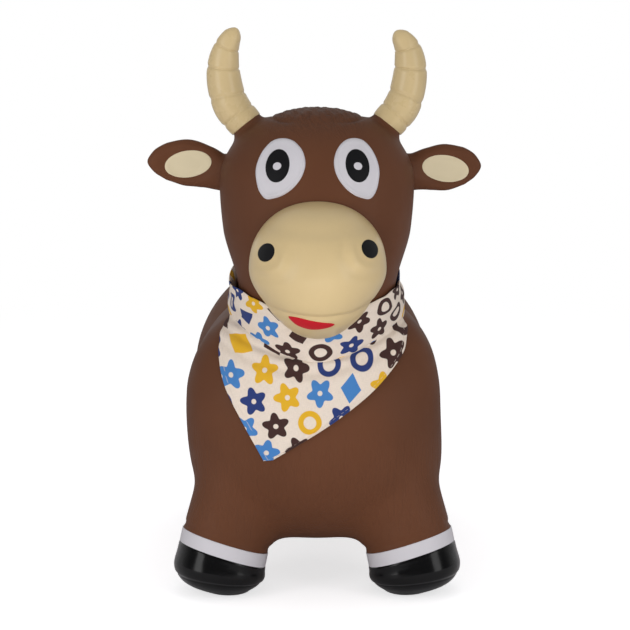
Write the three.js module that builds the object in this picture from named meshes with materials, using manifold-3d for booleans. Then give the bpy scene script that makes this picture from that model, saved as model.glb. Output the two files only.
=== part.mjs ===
// Bouncy animal hopper: an air-filled bull with soft horns for grips and a cotton bandana round its neck.
// Millimetres, +Z up. The bull faces -Y and stands on z = 0; left and right are its own, so left is +X.
import * as THREE from 'three';
import { mergeVertices } from 'three/addons/utils/BufferGeometryUtils.js';
import Module from 'manifold-3d';

const wasm = await Module();
wasm.setup();

// Skin, cloth and fits
const WALL = 2;
const GAP = 0.35;
const PAINT = 1.1;
const CLOTH = 2.2;
const CLOTH_CLEAR = 0.7;

// Barrel: its ends, and the half width, top and belly at five places along it
const CHEST_Y = -196;
const SHOULDER_Y = -108;
const WITHERS_Y = -25;
const SADDLE_Y = 58;
const RUMP_Y = 165;
const TAIL_END_Y = 268;
const BARREL_AXIS_Z = 165;
const CHEST_HALF = 123;
const SHOULDER_HALF = 130;
const WITHERS_HALF = 124;
const SADDLE_HALF = 117;
const RUMP_HALF = 133;
const TAIL_END_HALF = 128;
const CHEST_TOP_Z = 258;
const SHOULDER_TOP_Z = 293;
const WITHERS_TOP_Z = 299;
const SADDLE_TOP_Z = 275;
const RUMP_TOP_Z = 305;
const TAIL_END_TOP_Z = 286;
const BELLY_Z = 49;
const CHEST_BELLY_Z = 58;
const TAIL_END_BELLY_Z = 64;
const BARREL_SQUARE = 2.8;
const SHOULDER_SQUARE = 3.3;
const RUMP_SQUARE = 2.05;
const ROUND_BACK_FROM = 0.8;
const CHEST_CAP = { share: 0.2, square: 2.4 };
const RUMP_CAP = { share: 0.26, square: 2.3 };

// Neck: a ball on the shoulders that the head's hem rides on
const NECK_PIVOT = new THREE.Vector3(0, -97, 278);
const NECK_BALL_OVER = 5;
const NECK_LEAN = THREE.MathUtils.degToRad(28);
const NECK_HOLE = 56;
const NECK_HEM = 10;
const NECK_RISE = 38;

// Head: half width, brow to back, along a spine that rises from the neck
const NECK_HALF = 79;
const JAW_HALF = 94;
const TEMPLE_HALF = 98;
const CROWN_HALF = 90;
const NECK_DEPTH = 77;
const JAW_DEPTH = 89;
const TEMPLE_DEPTH = 86;
const CROWN_DEPTH = 70;
const NAPE_DEPTH = 68;
const POLL_DEPTH = 82;
const JAW_AT = new THREE.Vector3(0, -112, 364);
const TEMPLE_AT = new THREE.Vector3(0, -106, 424);
const CROWN_AT = new THREE.Vector3(0, -99, 486);
const CROWN_CAP = { share: 0.33, square: 2.5, rows: 5 };
const HEAD_SQUARE = 2.1;

// Muzzle
const MUZZLE_BACK = new THREE.Vector3(0, -150, 341);
const MUZZLE_MIDDLE = new THREE.Vector3(0, -206, 338);
const MUZZLE_TIP = new THREE.Vector3(0, -276, 329);
const MUZZLE_HALF = 67;
const MUZZLE_OVER = 63;
const MUZZLE_UNDER = 67;
const MUZZLE_END_HALF = 60;
const MUZZLE_BACK_UNDER = 60;
const MUZZLE_TIP_OVER = 53.5;
const MUZZLE_TIP_UNDER = 61.5;
const MUZZLE_CAP = { share: 0.55, square: 2.3, rows: 6 };
const MUZZLE_SQUARE = 1.85;

// Forelock on the crown
const FORELOCK_HALF = 46;
const FORELOCK_DEPTH_SHARE = 0.52;
const FORELOCK_AHEAD_SHARE = 0.18;
const FORELOCK_THICK = 15;
const FORELOCK_SINK = 12;

// Eyes, nostrils and mouth, in front view from the middle line
const EYE_INNER_X = 15.5;
const EYE_OUTER_X = 61;
const EYE_TOP_Z = 461;
const EYE_CORNER_Z = 402.5;
const PUPIL_AT = new THREE.Vector2(39.3, 434.7);
const PUPIL_HALF = new THREE.Vector2(12, 16.4);
const PUPIL_TILT = THREE.MathUtils.degToRad(8);
const GLINT_HALF = 4.2;
const NOSTRIL_AT = new THREE.Vector2(49.5, 359);
const NOSTRIL_HALF = new THREE.Vector2(7.6, 9.6);
const MOUTH_AT = new THREE.Vector2(-4, 290);
const MOUTH_HALF = 22.5;
const MOUTH_DROP = 7.5;
const MOUTH_TILT = THREE.MathUtils.degToRad(-9);

// Ears: leaves that stand out from balls on the temples
const EAR_ROOT = new THREE.Vector3(97, -92, 419);
const EAR_BALL = 20.5;
const EAR_REACH_X = 171;
const EAR_TIP_Z = 429;
const EAR_WIDE_X = 128;
const EAR_ROOT_HALF = 18.6;
const EAR_WIDE_HALF = 25;
const EAR_TIP_HALF = 21;
const EAR_THICK = 9.5;
const EAR_HOLE = 7;
const EAR_CAP = { share: 0.55, rows: 5 };
const LINING_HALF = new THREE.Vector2(24.5, 13.8);
const LINING_AT = new THREE.Vector2(129.5, 427);
const LINING_TILT = THREE.MathUtils.degToRad(-8);

// Horns: ringed, bowed grips on stumps of the head
const HORN_FOOT = new THREE.Vector3(71.5, -95, 471);
const HORN_FLARE = new THREE.Vector3(86.5, -92, 490);
const HORN_BOW = new THREE.Vector3(94, -90, 523);
const HORN_TIP = new THREE.Vector3(81.5, -96, 567);
const HORN_FOOT_HALF = 16.6;
const HORN_FLARE_HALF = 18.2;
const HORN_BOW_HALF = 17;
const HORN_TIP_HALF = 10.5;
const HORN_RINGS = 5;
const HORN_GROOVE = 0.9;
const HORN_HOLE = 6;
const HORN_CAP = { share: 0.25, rows: 5 };
const STUMP_BALL = 17.6;
const STUMP_INSET = 6;
const STUMP_WAIST_HALF = 21.6;
const STUMP_FOOT_HALF = 27;
const STUMP_DEPTH = 40;
const STUMP_CAP = { share: 1 / 3, rows: 5 };

// Legs: the front pair; the rear pair stands narrower and looks back
const FRONT_FOOT_X = 104.5;
const FRONT_ANKLE_X = 92;
const FRONT_KNEE_X = 77;
const FRONT_FOOT_Y = -142;
const FRONT_KNEE_Y = -126;
const REAR_FOOT_X = 89;
const REAR_ANKLE_X = 84;
const REAR_KNEE_X = 76;
const REAR_FOOT_Y = 188;
const REAR_KNEE_Y = 172;
const HIP_INSET_X = 11;
const HIP_Z = 165;
const KNEE_Z = 108;
const ANKLE_Z = 56;
const LEG_HALF = 45;
const KNEE_HALF = 46;
const HIP_HALF = 46;
const LEG_LONGER = 4;
const BAND_HEIGHT = 14.5;
const SOLE_SINK = 4;
const LEG_HOLE = 30;
const LEG_SQUARE = 2.2;
const SOLE_CAP = { share: 0.2, square: 3 };

// Tail, lying on the rump
const TAIL_TOP_Z = 250;
const TAIL_LOW_Z = 150;
const TAIL_ROOT_HALF = 8;
const TAIL_WAIST_HALF = 6.5;
const TUFT_HALF = 11;
const TUFT_END_HALF = 10;
const TAIL_ROOT_CAP = { share: 0.12, rows: 3 };
const TUFT_CAP = { share: 0.3 };

// Valve in the lower rump
const VALVE_Z = 112;
const PLUG_STEM_HALF = 6;
const PLUG_STEM_LONG = 17;
const PLUG_CAP_HALF = 10;
const PLUG_CAP_THICK = 3;
const PLUG_RIB = 0.5;
const PLUG_RIB_UP = 7;
const PLUG_TAPER = 3;
const PLUG_EDGE = 1;
const SEAT_HALF = 13;
const SEAT_WALL = 3;

// Bandana
const COLLAR_LIFT = 16;
const COLLAR_HALF_HEIGHT = 15;
const COLLAR_THICK = 5;
const COLLAR_TWISTS = 7;
const COLLAR_FOLD = 1.3;
const COLLAR_STEPS = 42;
const FLAP_CLEAR = 0.9;
const FLAP_FOLDS = 3;
const FLAP_FOLD = 1.6;
const FLAP_HINGE_Z = 210;
const FLAP_RIGHT_EDGE = [[-87, 270], [-95, 243], [-90, 218], [-52, 145]];
const FLAP_LEFT_EDGE = [[82, 272], [87, 249], [39, 203], [-46, 145]];
const FLAP_COLUMNS = 12;
const FLAP_ROWS = 14;
const KNOT_HALF = new THREE.Vector3(17, 11, 13);
const KNOT_STAND = 9;
const END_LONG = 62;
const END_ROOT_HALF = 7;
const END_HALF = 13;
const END_HANG = 0.55;
const END_CAP = { share: 0.25, rows: 3 };
const END_SPREAD = THREE.MathUtils.degToRad(38);

// Fineness of the meshes
const FINE_SIDES = 22;
const LIMB_SIDES = 14;
const HORN_SIDES = 10;
const STRIP_SIDES = 8;
const BALL_SIDES = 20;
const NECK_SIDES = 30;
const CAP_ROWS = 4;
const FLAT_END = { share: 0 };
const FAR = 600;

const EAST = new THREE.Vector3(1, 0, 0);
const NORTH = new THREE.Vector3(0, 1, 0);
const UP = new THREE.Vector3(0, 0, 1);

const evenly = (half) => [half, half, half];

const finish = (color, roughness) => new THREE.MeshStandardMaterial({ color, roughness, metalness: 0 });
const BROWN = finish(0x623e2e, 0.6);
const CREAM = finish(0xcbb88a, 0.42);
const WHITE = finish(0xd6d4d2, 0.5);
const BLACK = finish(0x1c1c1c, 0.3);
const RED = finish(0xb91423, 0.4);
const PALE_PLASTIC = finish(0xe4e2dc, 0.45);
const COTTON = finish(0xded0c4, 0.9);

const hopper = new THREE.Group();

// A closed geometry as a solid.
function solidOf(geometry) {
  const bare = geometry.clone();
  bare.deleteAttribute('normal');
  bare.deleteAttribute('uv');
  const merged = mergeVertices(bare, 1e-3);
  const mesh = new wasm.Mesh({
    numProp: 3,
    vertProperties: merged.getAttribute('position').array,
    triVerts: new Uint32Array(merged.index.array),
  });
  mesh.merge();
  return new wasm.Manifold(mesh);
}

// A solid as a geometry for a mesh.
function geometryOf(solid) {
  const mesh = solid.getMesh();
  const geometry = new THREE.BufferGeometry();
  geometry.setAttribute('position', new THREE.BufferAttribute(mesh.vertProperties, 3));
  geometry.setIndex(new THREE.BufferAttribute(mesh.triVerts, 1));
  return geometry;
}

const cut = (solid, ...tools) => tools.reduce((rest, tool) => rest.subtract(tool), solid);
const join = (solid, ...others) => others.reduce((sum, other) => sum.add(other), solid);

// Adds one named piece to the hopper.
function piece(name, material, solid) {
  const geometry = geometryOf(solid);
  geometry.computeVertexNormals();
  const mesh = new THREE.Mesh(geometry, material);
  mesh.name = name;
  hopper.add(mesh);
}

// The same geometry on the other side of the middle plane.
function mirrored(geometry) {
  const other = geometry.clone();
  other.scale(-1, 1, 1);
  const corners = other.index.array;
  for (let i = 0; i < corners.length; i += 3) {
    [corners[i + 1], corners[i + 2]] = [corners[i + 2], corners[i + 1]];
  }
  return other;
}

// A copy with every point moved out along its normal, or in where distance is negative.
function grown(geometry, distance) {
  const bare = geometry.clone();
  bare.deleteAttribute('normal');
  bare.deleteAttribute('uv');
  const merged = mergeVertices(bare, 1e-3);
  merged.computeVertexNormals();
  const position = merged.getAttribute('position');
  const normal = merged.getAttribute('normal');
  for (let i = 0; i < position.count; i += 1) {
    position.setXYZ(
      i,
      position.getX(i) + distance * normal.getX(i),
      position.getY(i) + distance * normal.getY(i),
      position.getZ(i) + distance * normal.getZ(i),
    );
  }
  return merged;
}

// One end of a blown form as [share of the spine, share of the section] rows; a share of 0 is a flat end.
function endRows({ share, square = 2, rows = CAP_ROWS }) {
  if (share === 0) {
    return [[0, 0], [0, 1]];
  }
  return Array.from({ length: rows + 1 }, (_, i) => {
    const turn = (i / rows) * (Math.PI / 2);
    return [share * (1 - Math.cos(turn) ** (2 / square)), Math.sin(turn) ** (2 / square)];
  });
}

// A form blown round a spine. Each station has its place and its half sizes: sideways, over and under.
// The section is as square over the spine as overSquare says for that place along it, and square under it.
function blown(form) {
  const { stations, sideways, start, end, between, sides, square = 2, ripple = () => 0 } = form;
  const { overSquare = () => square } = form;
  const spine = new THREE.CatmullRomCurve3(stations.map((station) => station.at));
  const sizes = new THREE.CatmullRomCurve3(stations.map((station) => new THREE.Vector3(...station.half)));
  const first = endRows(start);
  const last = endRows(end).reverse().map(([along, size]) => [1 - along, size]);
  const middle = Array.from({ length: between - 1 }, (_, i) => {
    const share = (i + 1) / between;
    return [start.share + share * (1 - start.share - end.share), 1];
  });
  const rows = [...first, ...middle, ...last];
  const geometry = new THREE.SphereGeometry(1, sides, rows.length - 1);
  const position = geometry.getAttribute('position');
  const round = (value, corner) => Math.sign(value) * Math.abs(value) ** (2 / corner);
  for (let i = 0; i < position.count; i += 1) {
    const [along, size] = rows[Math.floor(i / (sides + 1))];
    const turn = ((i % (sides + 1)) / sides) * 2 * Math.PI;
    const half = sizes.getPoint(along).addScalar(ripple(along)).multiplyScalar(size);
    const tangent = spine.getTangent(along);
    const over = sideways.clone().cross(tangent).normalize();
    const across = tangent.clone().cross(over);
    const corner = Math.sin(turn) > 0 ? overSquare(along) : square;
    const rise = round(Math.sin(turn), corner);
    const point = spine.getPoint(along);
    point.addScaledVector(across, half.x * round(Math.cos(turn), corner));
    point.addScaledVector(over, (rise > 0 ? half.y : half.z) * rise);
    position.setXYZ(i, point.x, point.y, point.z);
  }
  return geometry;
}

// The inside of a form's skin.
const lining = (form) => solidOf(grown(blown({ ...form, ripple: undefined }), -WALL));

// Room that two faceted balls of one centre need to turn in each other about their poles.
const ballRoom = (radius, sides) => GAP + radius * (1 - Math.cos(Math.PI / sides));

// A faceted ball with its poles on the axis that it turns about.
function ballAt(centre, radius, poles, sides = BALL_SIDES) {
  const geometry = new THREE.SphereGeometry(radius, sides, sides / 2);
  geometry.applyQuaternion(new THREE.Quaternion().setFromUnitVectors(NORTH, poles));
  return solidOf(geometry.translate(centre.x, centre.y, centre.z));
}

// A straight rod from one point towards another.
function rod(from, towards, radius, length) {
  const geometry = new THREE.CylinderGeometry(radius, radius, length, BALL_SIDES);
  geometry.translate(0, length / 2, 0);
  const direction = towards.clone().sub(from).normalize();
  geometry.applyQuaternion(new THREE.Quaternion().setFromUnitVectors(NORTH, direction));
  return solidOf(geometry.translate(from.x, from.y, from.z));
}

// All space on the side of a plane that its normal points to, as far as the hopper reaches.
function beyond(point, normal) {
  const geometry = new THREE.BoxGeometry(2 * FAR, 2 * FAR, FAR).translate(0, 0, FAR / 2);
  geometry.applyQuaternion(new THREE.Quaternion().setFromUnitVectors(UP, normal));
  return solidOf(geometry.translate(point.x, point.y, point.z));
}

// A front-view outline as a block that reaches forward from the plane y = fromY.
function block(outline, fromY) {
  const geometry = new THREE.ExtrudeGeometry(outline, { depth: FAR, bevelEnabled: false, curveSegments: 6 });
  geometry.rotateX(Math.PI / 2);
  return solidOf(geometry.translate(0, fromY, 0));
}

// An ellipse in front view.
function oval(at, half, tilt) {
  const outline = new THREE.Shape();
  outline.absellipse(at.x, at.y, half.x, half.y, 0, 2 * Math.PI, false, tilt);
  return outline;
}

// The first point of a surface that a ray meets, with the surface's normal there.
function touch(surface, from, direction) {
  const [hit] = new THREE.Raycaster(from, direction).intersectObject(surface);
  return { point: hit.point, normal: hit.face.normal };
}

// Barrel

const barrelStation = (y, half, top, belly) => ({
  at: new THREE.Vector3(0, y, BARREL_AXIS_Z),
  half: [half, top - BARREL_AXIS_Z, BARREL_AXIS_Z - belly],
});

const barrelForm = {
  stations: [
    barrelStation(CHEST_Y, CHEST_HALF, CHEST_TOP_Z, CHEST_BELLY_Z),
    barrelStation(SHOULDER_Y, SHOULDER_HALF, SHOULDER_TOP_Z, BELLY_Z),
    barrelStation(WITHERS_Y, WITHERS_HALF, WITHERS_TOP_Z, BELLY_Z),
    barrelStation(SADDLE_Y, SADDLE_HALF, SADDLE_TOP_Z, BELLY_Z),
    barrelStation(RUMP_Y, RUMP_HALF, RUMP_TOP_Z, BELLY_Z),
    barrelStation(TAIL_END_Y, TAIL_END_HALF, TAIL_END_TOP_Z, TAIL_END_BELLY_Z),
  ],
  sideways: EAST,
  start: CHEST_CAP,
  end: RUMP_CAP,
  between: 9,
  sides: FINE_SIDES,
  square: BARREL_SQUARE,
  overSquare: (along) =>
    THREE.MathUtils.lerp(SHOULDER_SQUARE, RUMP_SQUARE, Math.min(1, along / ROUND_BACK_FROM)),
};
const barrel = blown(barrelForm);
const neckAxis = new THREE.Vector3(0, -Math.sin(NECK_LEAN), Math.cos(NECK_LEAN));
const upNeck = (distance) => NECK_PIVOT.clone().addScaledVector(neckAxis, distance);
const neckBallHalf = Math.max(NECK_HALF, NECK_DEPTH) + NECK_BALL_OVER;
const barrelSolid = join(solidOf(barrel), ballAt(NECK_PIVOT, neckBallHalf, EAST, NECK_SIDES));
const barrelMesh = new THREE.Mesh(geometryOf(barrelSolid));
const barrelGrown = (distance) =>
  join(solidOf(grown(barrel, distance)), ballAt(NECK_PIVOT, neckBallHalf + distance, EAST, NECK_SIDES));

// Legs, bands and hooves

function legForm(footX, ankleX, kneeX, footY, kneeY) {
  const ankleY = (footY + kneeY) / 2;
  const station = (x, y, z, half) => ({
    at: new THREE.Vector3(x, y, z),
    half: [half, half + LEG_LONGER, half + LEG_LONGER],
  });
  return {
    stations: [
      station(kneeX - HIP_INSET_X, kneeY, HIP_Z, HIP_HALF),
      station(kneeX, kneeY, KNEE_Z, KNEE_HALF),
      station(ankleX, ankleY, ANKLE_Z, LEG_HALF),
      station(footX, footY, -SOLE_SINK, LEG_HALF),
    ],
    sideways: EAST,
    start: FLAT_END,
    end: SOLE_CAP,
    between: 6,
    sides: LIMB_SIDES,
    square: LEG_SQUARE,
  };
}

const legForms = {
  front: legForm(FRONT_FOOT_X, FRONT_ANKLE_X, FRONT_KNEE_X, FRONT_FOOT_Y, FRONT_KNEE_Y),
  rear: legForm(REAR_FOOT_X, REAR_ANKLE_X, REAR_KNEE_X, REAR_FOOT_Y, REAR_KNEE_Y),
};
const legHoles = [];
const underBarrel = barrelGrown(GAP);

function makeLeg(end, side, mirror) {
  const form = legForms[end];
  const spine = new THREE.CatmullRomCurve3(form.stations.map((station) => station.at));
  const ankle = form.stations[2].at;
  const outer = blown(form);
  const place = (solid) => (mirror ? solidOf(mirrored(geometryOf(solid))) : solid);
  const inner = cut(lining(form), beyond(new THREE.Vector3(0, 0, WALL), UP.clone().negate()));
  const floor = beyond(new THREE.Vector3(), UP.clone().negate());
  const tube = cut(solidOf(outer), inner, floor);
  const down = spine.getTangent(2 / 3);
  const level = (drop) => ankle.clone().addScaledVector(down, drop);
  const lower = (drop) => beyond(level(drop), down);
  const upper = (drop) => beyond(level(drop), down.clone().negate());
  piece(`leg_${end}_${side}`, BROWN, cut(place(cut(tube, lower(0))), underBarrel));
  piece(`band_${end}_${side}`, WHITE, place(cut(tube, upper(GAP), lower(BAND_HEIGHT))));
  piece(`hoof_${end}_${side}`, BLACK, place(cut(tube, upper(BAND_HEIGHT + GAP))));
  legHoles.push(place(rod(form.stations[0].at, ankle, LEG_HOLE, HIP_Z - KNEE_Z + LEG_HOLE)));
}

for (const end of ['front', 'rear']) {
  makeLeg(end, 'left', false);
  makeLeg(end, 'right', true);
}

// Valve seat and air plug

const valve = touch(barrelMesh, new THREE.Vector3(0, FAR, VALVE_Z), NORTH.clone().negate());
const valveTurn = new THREE.Quaternion().setFromUnitVectors(NORTH, valve.normal);
const onValve = (profile) => {
  const points = profile.map(([radius, height]) => new THREE.Vector2(radius, height));
  const geometry = new THREE.LatheGeometry(points, BALL_SIDES);
  geometry.applyQuaternion(valveTurn);
  return solidOf(geometry.translate(valve.point.x, valve.point.y, valve.point.z));
};
const boreHalf = PLUG_STEM_HALF + PLUG_RIB + GAP;
const seatDepth = PLUG_STEM_LONG - SEAT_WALL;
const seatRim = SEAT_WALL / 2;
piece('valve_seat', PALE_PLASTIC, onValve([
  [boreHalf, -seatDepth],
  [boreHalf + SEAT_WALL, -seatDepth],
  [boreHalf + SEAT_WALL, -SEAT_WALL],
  [SEAT_HALF, -SEAT_WALL],
  [SEAT_HALF, seatRim],
  [boreHalf, seatRim],
  [boreHalf, -seatDepth],
]));
const capFoot = seatRim + GAP;
piece('air_plug', PALE_PLASTIC, onValve([
  [0, capFoot - PLUG_STEM_LONG],
  [PLUG_STEM_HALF - PLUG_EDGE, capFoot - PLUG_STEM_LONG],
  [PLUG_STEM_HALF, capFoot - PLUG_STEM_LONG + PLUG_TAPER],
  [PLUG_STEM_HALF + PLUG_RIB, capFoot - PLUG_STEM_LONG + PLUG_RIB_UP],
  [PLUG_STEM_HALF, capFoot - PLUG_STEM_LONG + PLUG_RIB_UP + PLUG_EDGE],
  [PLUG_STEM_HALF, capFoot],
  [PLUG_CAP_HALF, capFoot],
  [PLUG_CAP_HALF, capFoot + PLUG_CAP_THICK - PLUG_EDGE],
  [PLUG_CAP_HALF - PLUG_EDGE, capFoot + PLUG_CAP_THICK],
  [0, capFoot + PLUG_CAP_THICK],
]));
const seatCut = onValve([
  [0, -PLUG_STEM_LONG],
  [SEAT_HALF + GAP, -PLUG_STEM_LONG],
  [SEAT_HALF + GAP, PLUG_STEM_LONG],
  [0, PLUG_STEM_LONG],
]);

// Torso skin, open at the neck, the legs and the valve

const neckHole = rod(NECK_PIVOT, NECK_PIVOT.clone().add(neckAxis), NECK_HOLE, FAR);
const barrelInner = join(lining(barrelForm), ballAt(NECK_PIVOT, neckBallHalf - WALL, EAST));
piece('torso_skin', BROWN, cut(barrelSolid, barrelInner, neckHole, seatCut, ...legHoles));

// Tail

const tailHalves = [TAIL_ROOT_HALF, TAIL_WAIST_HALF, TUFT_HALF, TUFT_END_HALF];
const tail = blown({
  stations: tailHalves.map((half, i) => {
    const z = THREE.MathUtils.lerp(TAIL_TOP_Z, TAIL_LOW_Z, i / (tailHalves.length - 1));
    const seat = touch(barrelMesh, new THREE.Vector3(0, FAR, z), NORTH.clone().negate());
    return { at: seat.point, half: evenly(half) };
  }),
  sideways: EAST,
  start: TAIL_ROOT_CAP,
  end: TUFT_CAP,
  between: 7,
  sides: STRIP_SIDES,
});
piece('tail', BROWN, cut(solidOf(tail), underBarrel));

// Head, with a ball for each ear and a stump for each horn

const headForm = {
  stations: [
    { at: upNeck(-NECK_HEM), half: [NECK_HALF, NECK_DEPTH, NECK_DEPTH] },
    { at: upNeck(NECK_RISE), half: [NECK_HALF, NECK_DEPTH, NECK_DEPTH] },
    { at: JAW_AT, half: [JAW_HALF, JAW_DEPTH, NAPE_DEPTH] },
    { at: TEMPLE_AT, half: [TEMPLE_HALF, TEMPLE_DEPTH, POLL_DEPTH] },
    { at: CROWN_AT, half: [CROWN_HALF, CROWN_DEPTH, CROWN_DEPTH] },
  ],
  sideways: EAST,
  start: FLAT_END,
  end: CROWN_CAP,
  between: 7,
  sides: FINE_SIDES,
  square: HEAD_SQUARE,
};
const head = blown(headForm);
const neckRoom = ballRoom(neckBallHalf, NECK_SIDES);
const neckBall = ballAt(NECK_PIVOT, neckBallHalf + neckRoom, EAST, NECK_SIDES);

const hornRoot = HORN_FLARE.clone().sub(HORN_FOOT).normalize();
const stumpCentre = HORN_FOOT.clone().addScaledVector(hornRoot, -STUMP_INSET);
const upStump = (distance) => stumpCentre.clone().addScaledVector(hornRoot, distance);
const stumpSide = new THREE.Vector3().crossVectors(hornRoot, NORTH).normalize();
const stump = blown({
  stations: [
    { at: upStump(-STUMP_DEPTH), half: evenly(STUMP_FOOT_HALF) },
    { at: upStump(-STUMP_DEPTH / 2), half: evenly(STUMP_WAIST_HALF) },
    { at: stumpCentre, half: evenly(STUMP_BALL) },
    { at: upStump(STUMP_BALL), half: evenly(STUMP_BALL) },
  ],
  sideways: stumpSide,
  start: FLAT_END,
  end: STUMP_CAP,
  between: 4,
  sides: LIMB_SIDES,
});

const pair = (solid) => join(solid, solidOf(mirrored(geometryOf(solid))));
const headOuter = join(solidOf(head), pair(ballAt(EAR_ROOT, EAR_BALL, NORTH)), pair(solidOf(stump)));
const airHoles = join(
  pair(rod(EAR_ROOT.clone().addScaledVector(EAST, -EAR_BALL * 2), EAR_ROOT, EAR_HOLE, EAR_BALL * 4)),
  pair(rod(upStump(-STUMP_DEPTH), HORN_FLARE, HORN_HOLE, STUMP_DEPTH * 2)),
);

const muzzleForm = {
  stations: [
    { at: MUZZLE_BACK, half: [MUZZLE_END_HALF, MUZZLE_OVER, MUZZLE_BACK_UNDER] },
    { at: MUZZLE_MIDDLE, half: [MUZZLE_HALF, MUZZLE_OVER, MUZZLE_UNDER] },
    { at: MUZZLE_TIP, half: [MUZZLE_END_HALF, MUZZLE_TIP_OVER, MUZZLE_TIP_UNDER] },
  ],
  sideways: EAST.clone().negate(),
  start: FLAT_END,
  end: MUZZLE_CAP,
  between: 4,
  sides: FINE_SIDES,
  square: MUZZLE_SQUARE,
};
const muzzle = blown(muzzleForm);
const muzzleSolid = solidOf(muzzle);
const muzzleInner = lining(muzzleForm);
piece('head_skin', BROWN, cut(headOuter, lining(headForm), neckBall, airHoles, muzzleInner));
piece('muzzle', CREAM, cut(muzzleSolid, muzzleInner, solidOf(grown(head, GAP)), neckBall));

const forelockBall = new THREE.SphereGeometry(1, LIMB_SIDES, LIMB_SIDES / 2);
forelockBall.scale(FORELOCK_HALF, FORELOCK_DEPTH_SHARE * CROWN_DEPTH, FORELOCK_THICK);
forelockBall.translate(0, CROWN_AT.y - FORELOCK_AHEAD_SHARE * CROWN_DEPTH, CROWN_AT.z - FORELOCK_SINK);
const forelockSeat = join(solidOf(grown(head, GAP)), pair(solidOf(grown(stump, GAP))));
piece('forelock', BROWN, cut(solidOf(forelockBall), forelockSeat));

// Face: each painted pad follows the skin under it

const paintOn = (geometry, outline, fromY, layer) => {
  const low = GAP + layer * (PAINT + GAP);
  const pad = cut(solidOf(grown(geometry, low + PAINT)), solidOf(grown(geometry, low)));
  return pad.intersect(block(outline, fromY));
};

const eyeWide = EYE_OUTER_X - EYE_INNER_X;
const eyeTall = EYE_TOP_Z - EYE_CORNER_Z;
const eyePoint = (across, up) =>
  new THREE.Vector2(EYE_INNER_X + across * eyeWide, EYE_CORNER_Z + up * eyeTall);
const eyeOutline = new THREE.Shape(new THREE.SplineCurve([
  eyePoint(0.8, 0),
  eyePoint(0.95, 0.18),
  eyePoint(1, 0.45),
  eyePoint(0.9, 0.72),
  eyePoint(0.68, 0.93),
  eyePoint(0.4, 1),
  eyePoint(0.12, 0.86),
  eyePoint(0, 0.6),
  eyePoint(0.2, 0.34),
  eyePoint(0.5, 0.12),
  eyePoint(0.8, 0),
]).getPoints(24).slice(0, -1));
const faceFrom = TEMPLE_AT.y;
const eyeWhite = paintOn(head, eyeOutline, faceFrom, 0);
const pupil = paintOn(head, oval(PUPIL_AT, PUPIL_HALF, PUPIL_TILT), faceFrom, 1);
const glint = paintOn(head, oval(PUPIL_AT, new THREE.Vector2(GLINT_HALF, GLINT_HALF), 0), faceFrom, 2);
const nostril = paintOn(muzzle, oval(NOSTRIL_AT, NOSTRIL_HALF, -PUPIL_TILT), MUZZLE_MIDDLE.y, 0);
for (const [name, material, solid] of [
  ['eye_white', WHITE, eyeWhite],
  ['pupil', BLACK, pupil],
  ['glint', WHITE, glint],
  ['nostril', BLACK, nostril],
]) {
  piece(`${name}_left`, material, solid);
  piece(`${name}_right`, material, solidOf(mirrored(geometryOf(solid))));
}

const lip = (x, z) => new THREE.Vector2(x, z).rotateAround(new THREE.Vector2(), MOUTH_TILT).add(MOUTH_AT);
const mouthOutline = new THREE.Shape(new THREE.SplineCurve([
  lip(-MOUTH_HALF, MOUTH_DROP / 2),
  lip(-MOUTH_HALF / 2, -MOUTH_DROP / 3),
  lip(0, -MOUTH_DROP / 1.5),
  lip(MOUTH_HALF / 2, -MOUTH_DROP / 3),
  lip(MOUTH_HALF, MOUTH_DROP / 2),
]).getPoints(16));
piece('mouth', RED, paintOn(muzzle, mouthOutline, MUZZLE_MIDDLE.y, 0));

// Ears

const earStation = (x, z, half) => ({
  at: new THREE.Vector3(x, EAR_ROOT.y, z),
  half: [half, EAR_THICK, EAR_THICK],
});
const earForm = {
  stations: [
    earStation(EAR_ROOT.x, EAR_ROOT.z, EAR_ROOT_HALF),
    earStation(EAR_WIDE_X, (EAR_ROOT.z + EAR_TIP_Z * 2) / 3, EAR_WIDE_HALF),
    earStation(EAR_REACH_X, EAR_TIP_Z, EAR_TIP_HALF),
  ],
  sideways: UP,
  start: FLAT_END,
  end: EAR_CAP,
  between: 3,
  sides: LIMB_SIDES,
};
const ear = blown(earForm);
const earBall = ballAt(EAR_ROOT, EAR_BALL + ballRoom(EAR_BALL, BALL_SIDES), NORTH);
const earSolid = cut(solidOf(ear), lining(earForm), earBall);
const earLining = cut(paintOn(ear, oval(LINING_AT, LINING_HALF, LINING_TILT), EAR_ROOT.y, 0), earBall);
piece('ear_left', BROWN, earSolid);
piece('ear_right', BROWN, solidOf(mirrored(geometryOf(earSolid))));
piece('ear_lining_left', CREAM, earLining);
piece('ear_lining_right', CREAM, solidOf(mirrored(geometryOf(earLining))));

// Horns

const hornForm = {
  stations: [
    { at: stumpCentre, half: evenly(HORN_FOOT_HALF) },
    { at: HORN_FLARE, half: evenly(HORN_FLARE_HALF) },
    { at: HORN_BOW, half: evenly(HORN_BOW_HALF) },
    { at: HORN_TIP, half: evenly(HORN_TIP_HALF) },
  ],
  sideways: stumpSide,
  start: FLAT_END,
  end: HORN_CAP,
  between: HORN_RINGS * 3,
  sides: HORN_SIDES,
  ripple: (along) => -HORN_GROOVE * Math.max(0, Math.cos(2 * Math.PI * HORN_RINGS * along)) ** 3,
};
const hornBall = ballAt(stumpCentre, STUMP_BALL + ballRoom(STUMP_BALL, BALL_SIDES), EAST);
const hornSolid = cut(solidOf(blown(hornForm)), lining(hornForm), hornBall);
piece('horn_left', CREAM, hornSolid);
piece('horn_right', CREAM, solidOf(mirrored(geometryOf(hornSolid))));

// Bandana: a rolled collar, the yoke and flap over the chest, and the knot with its two ends

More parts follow.
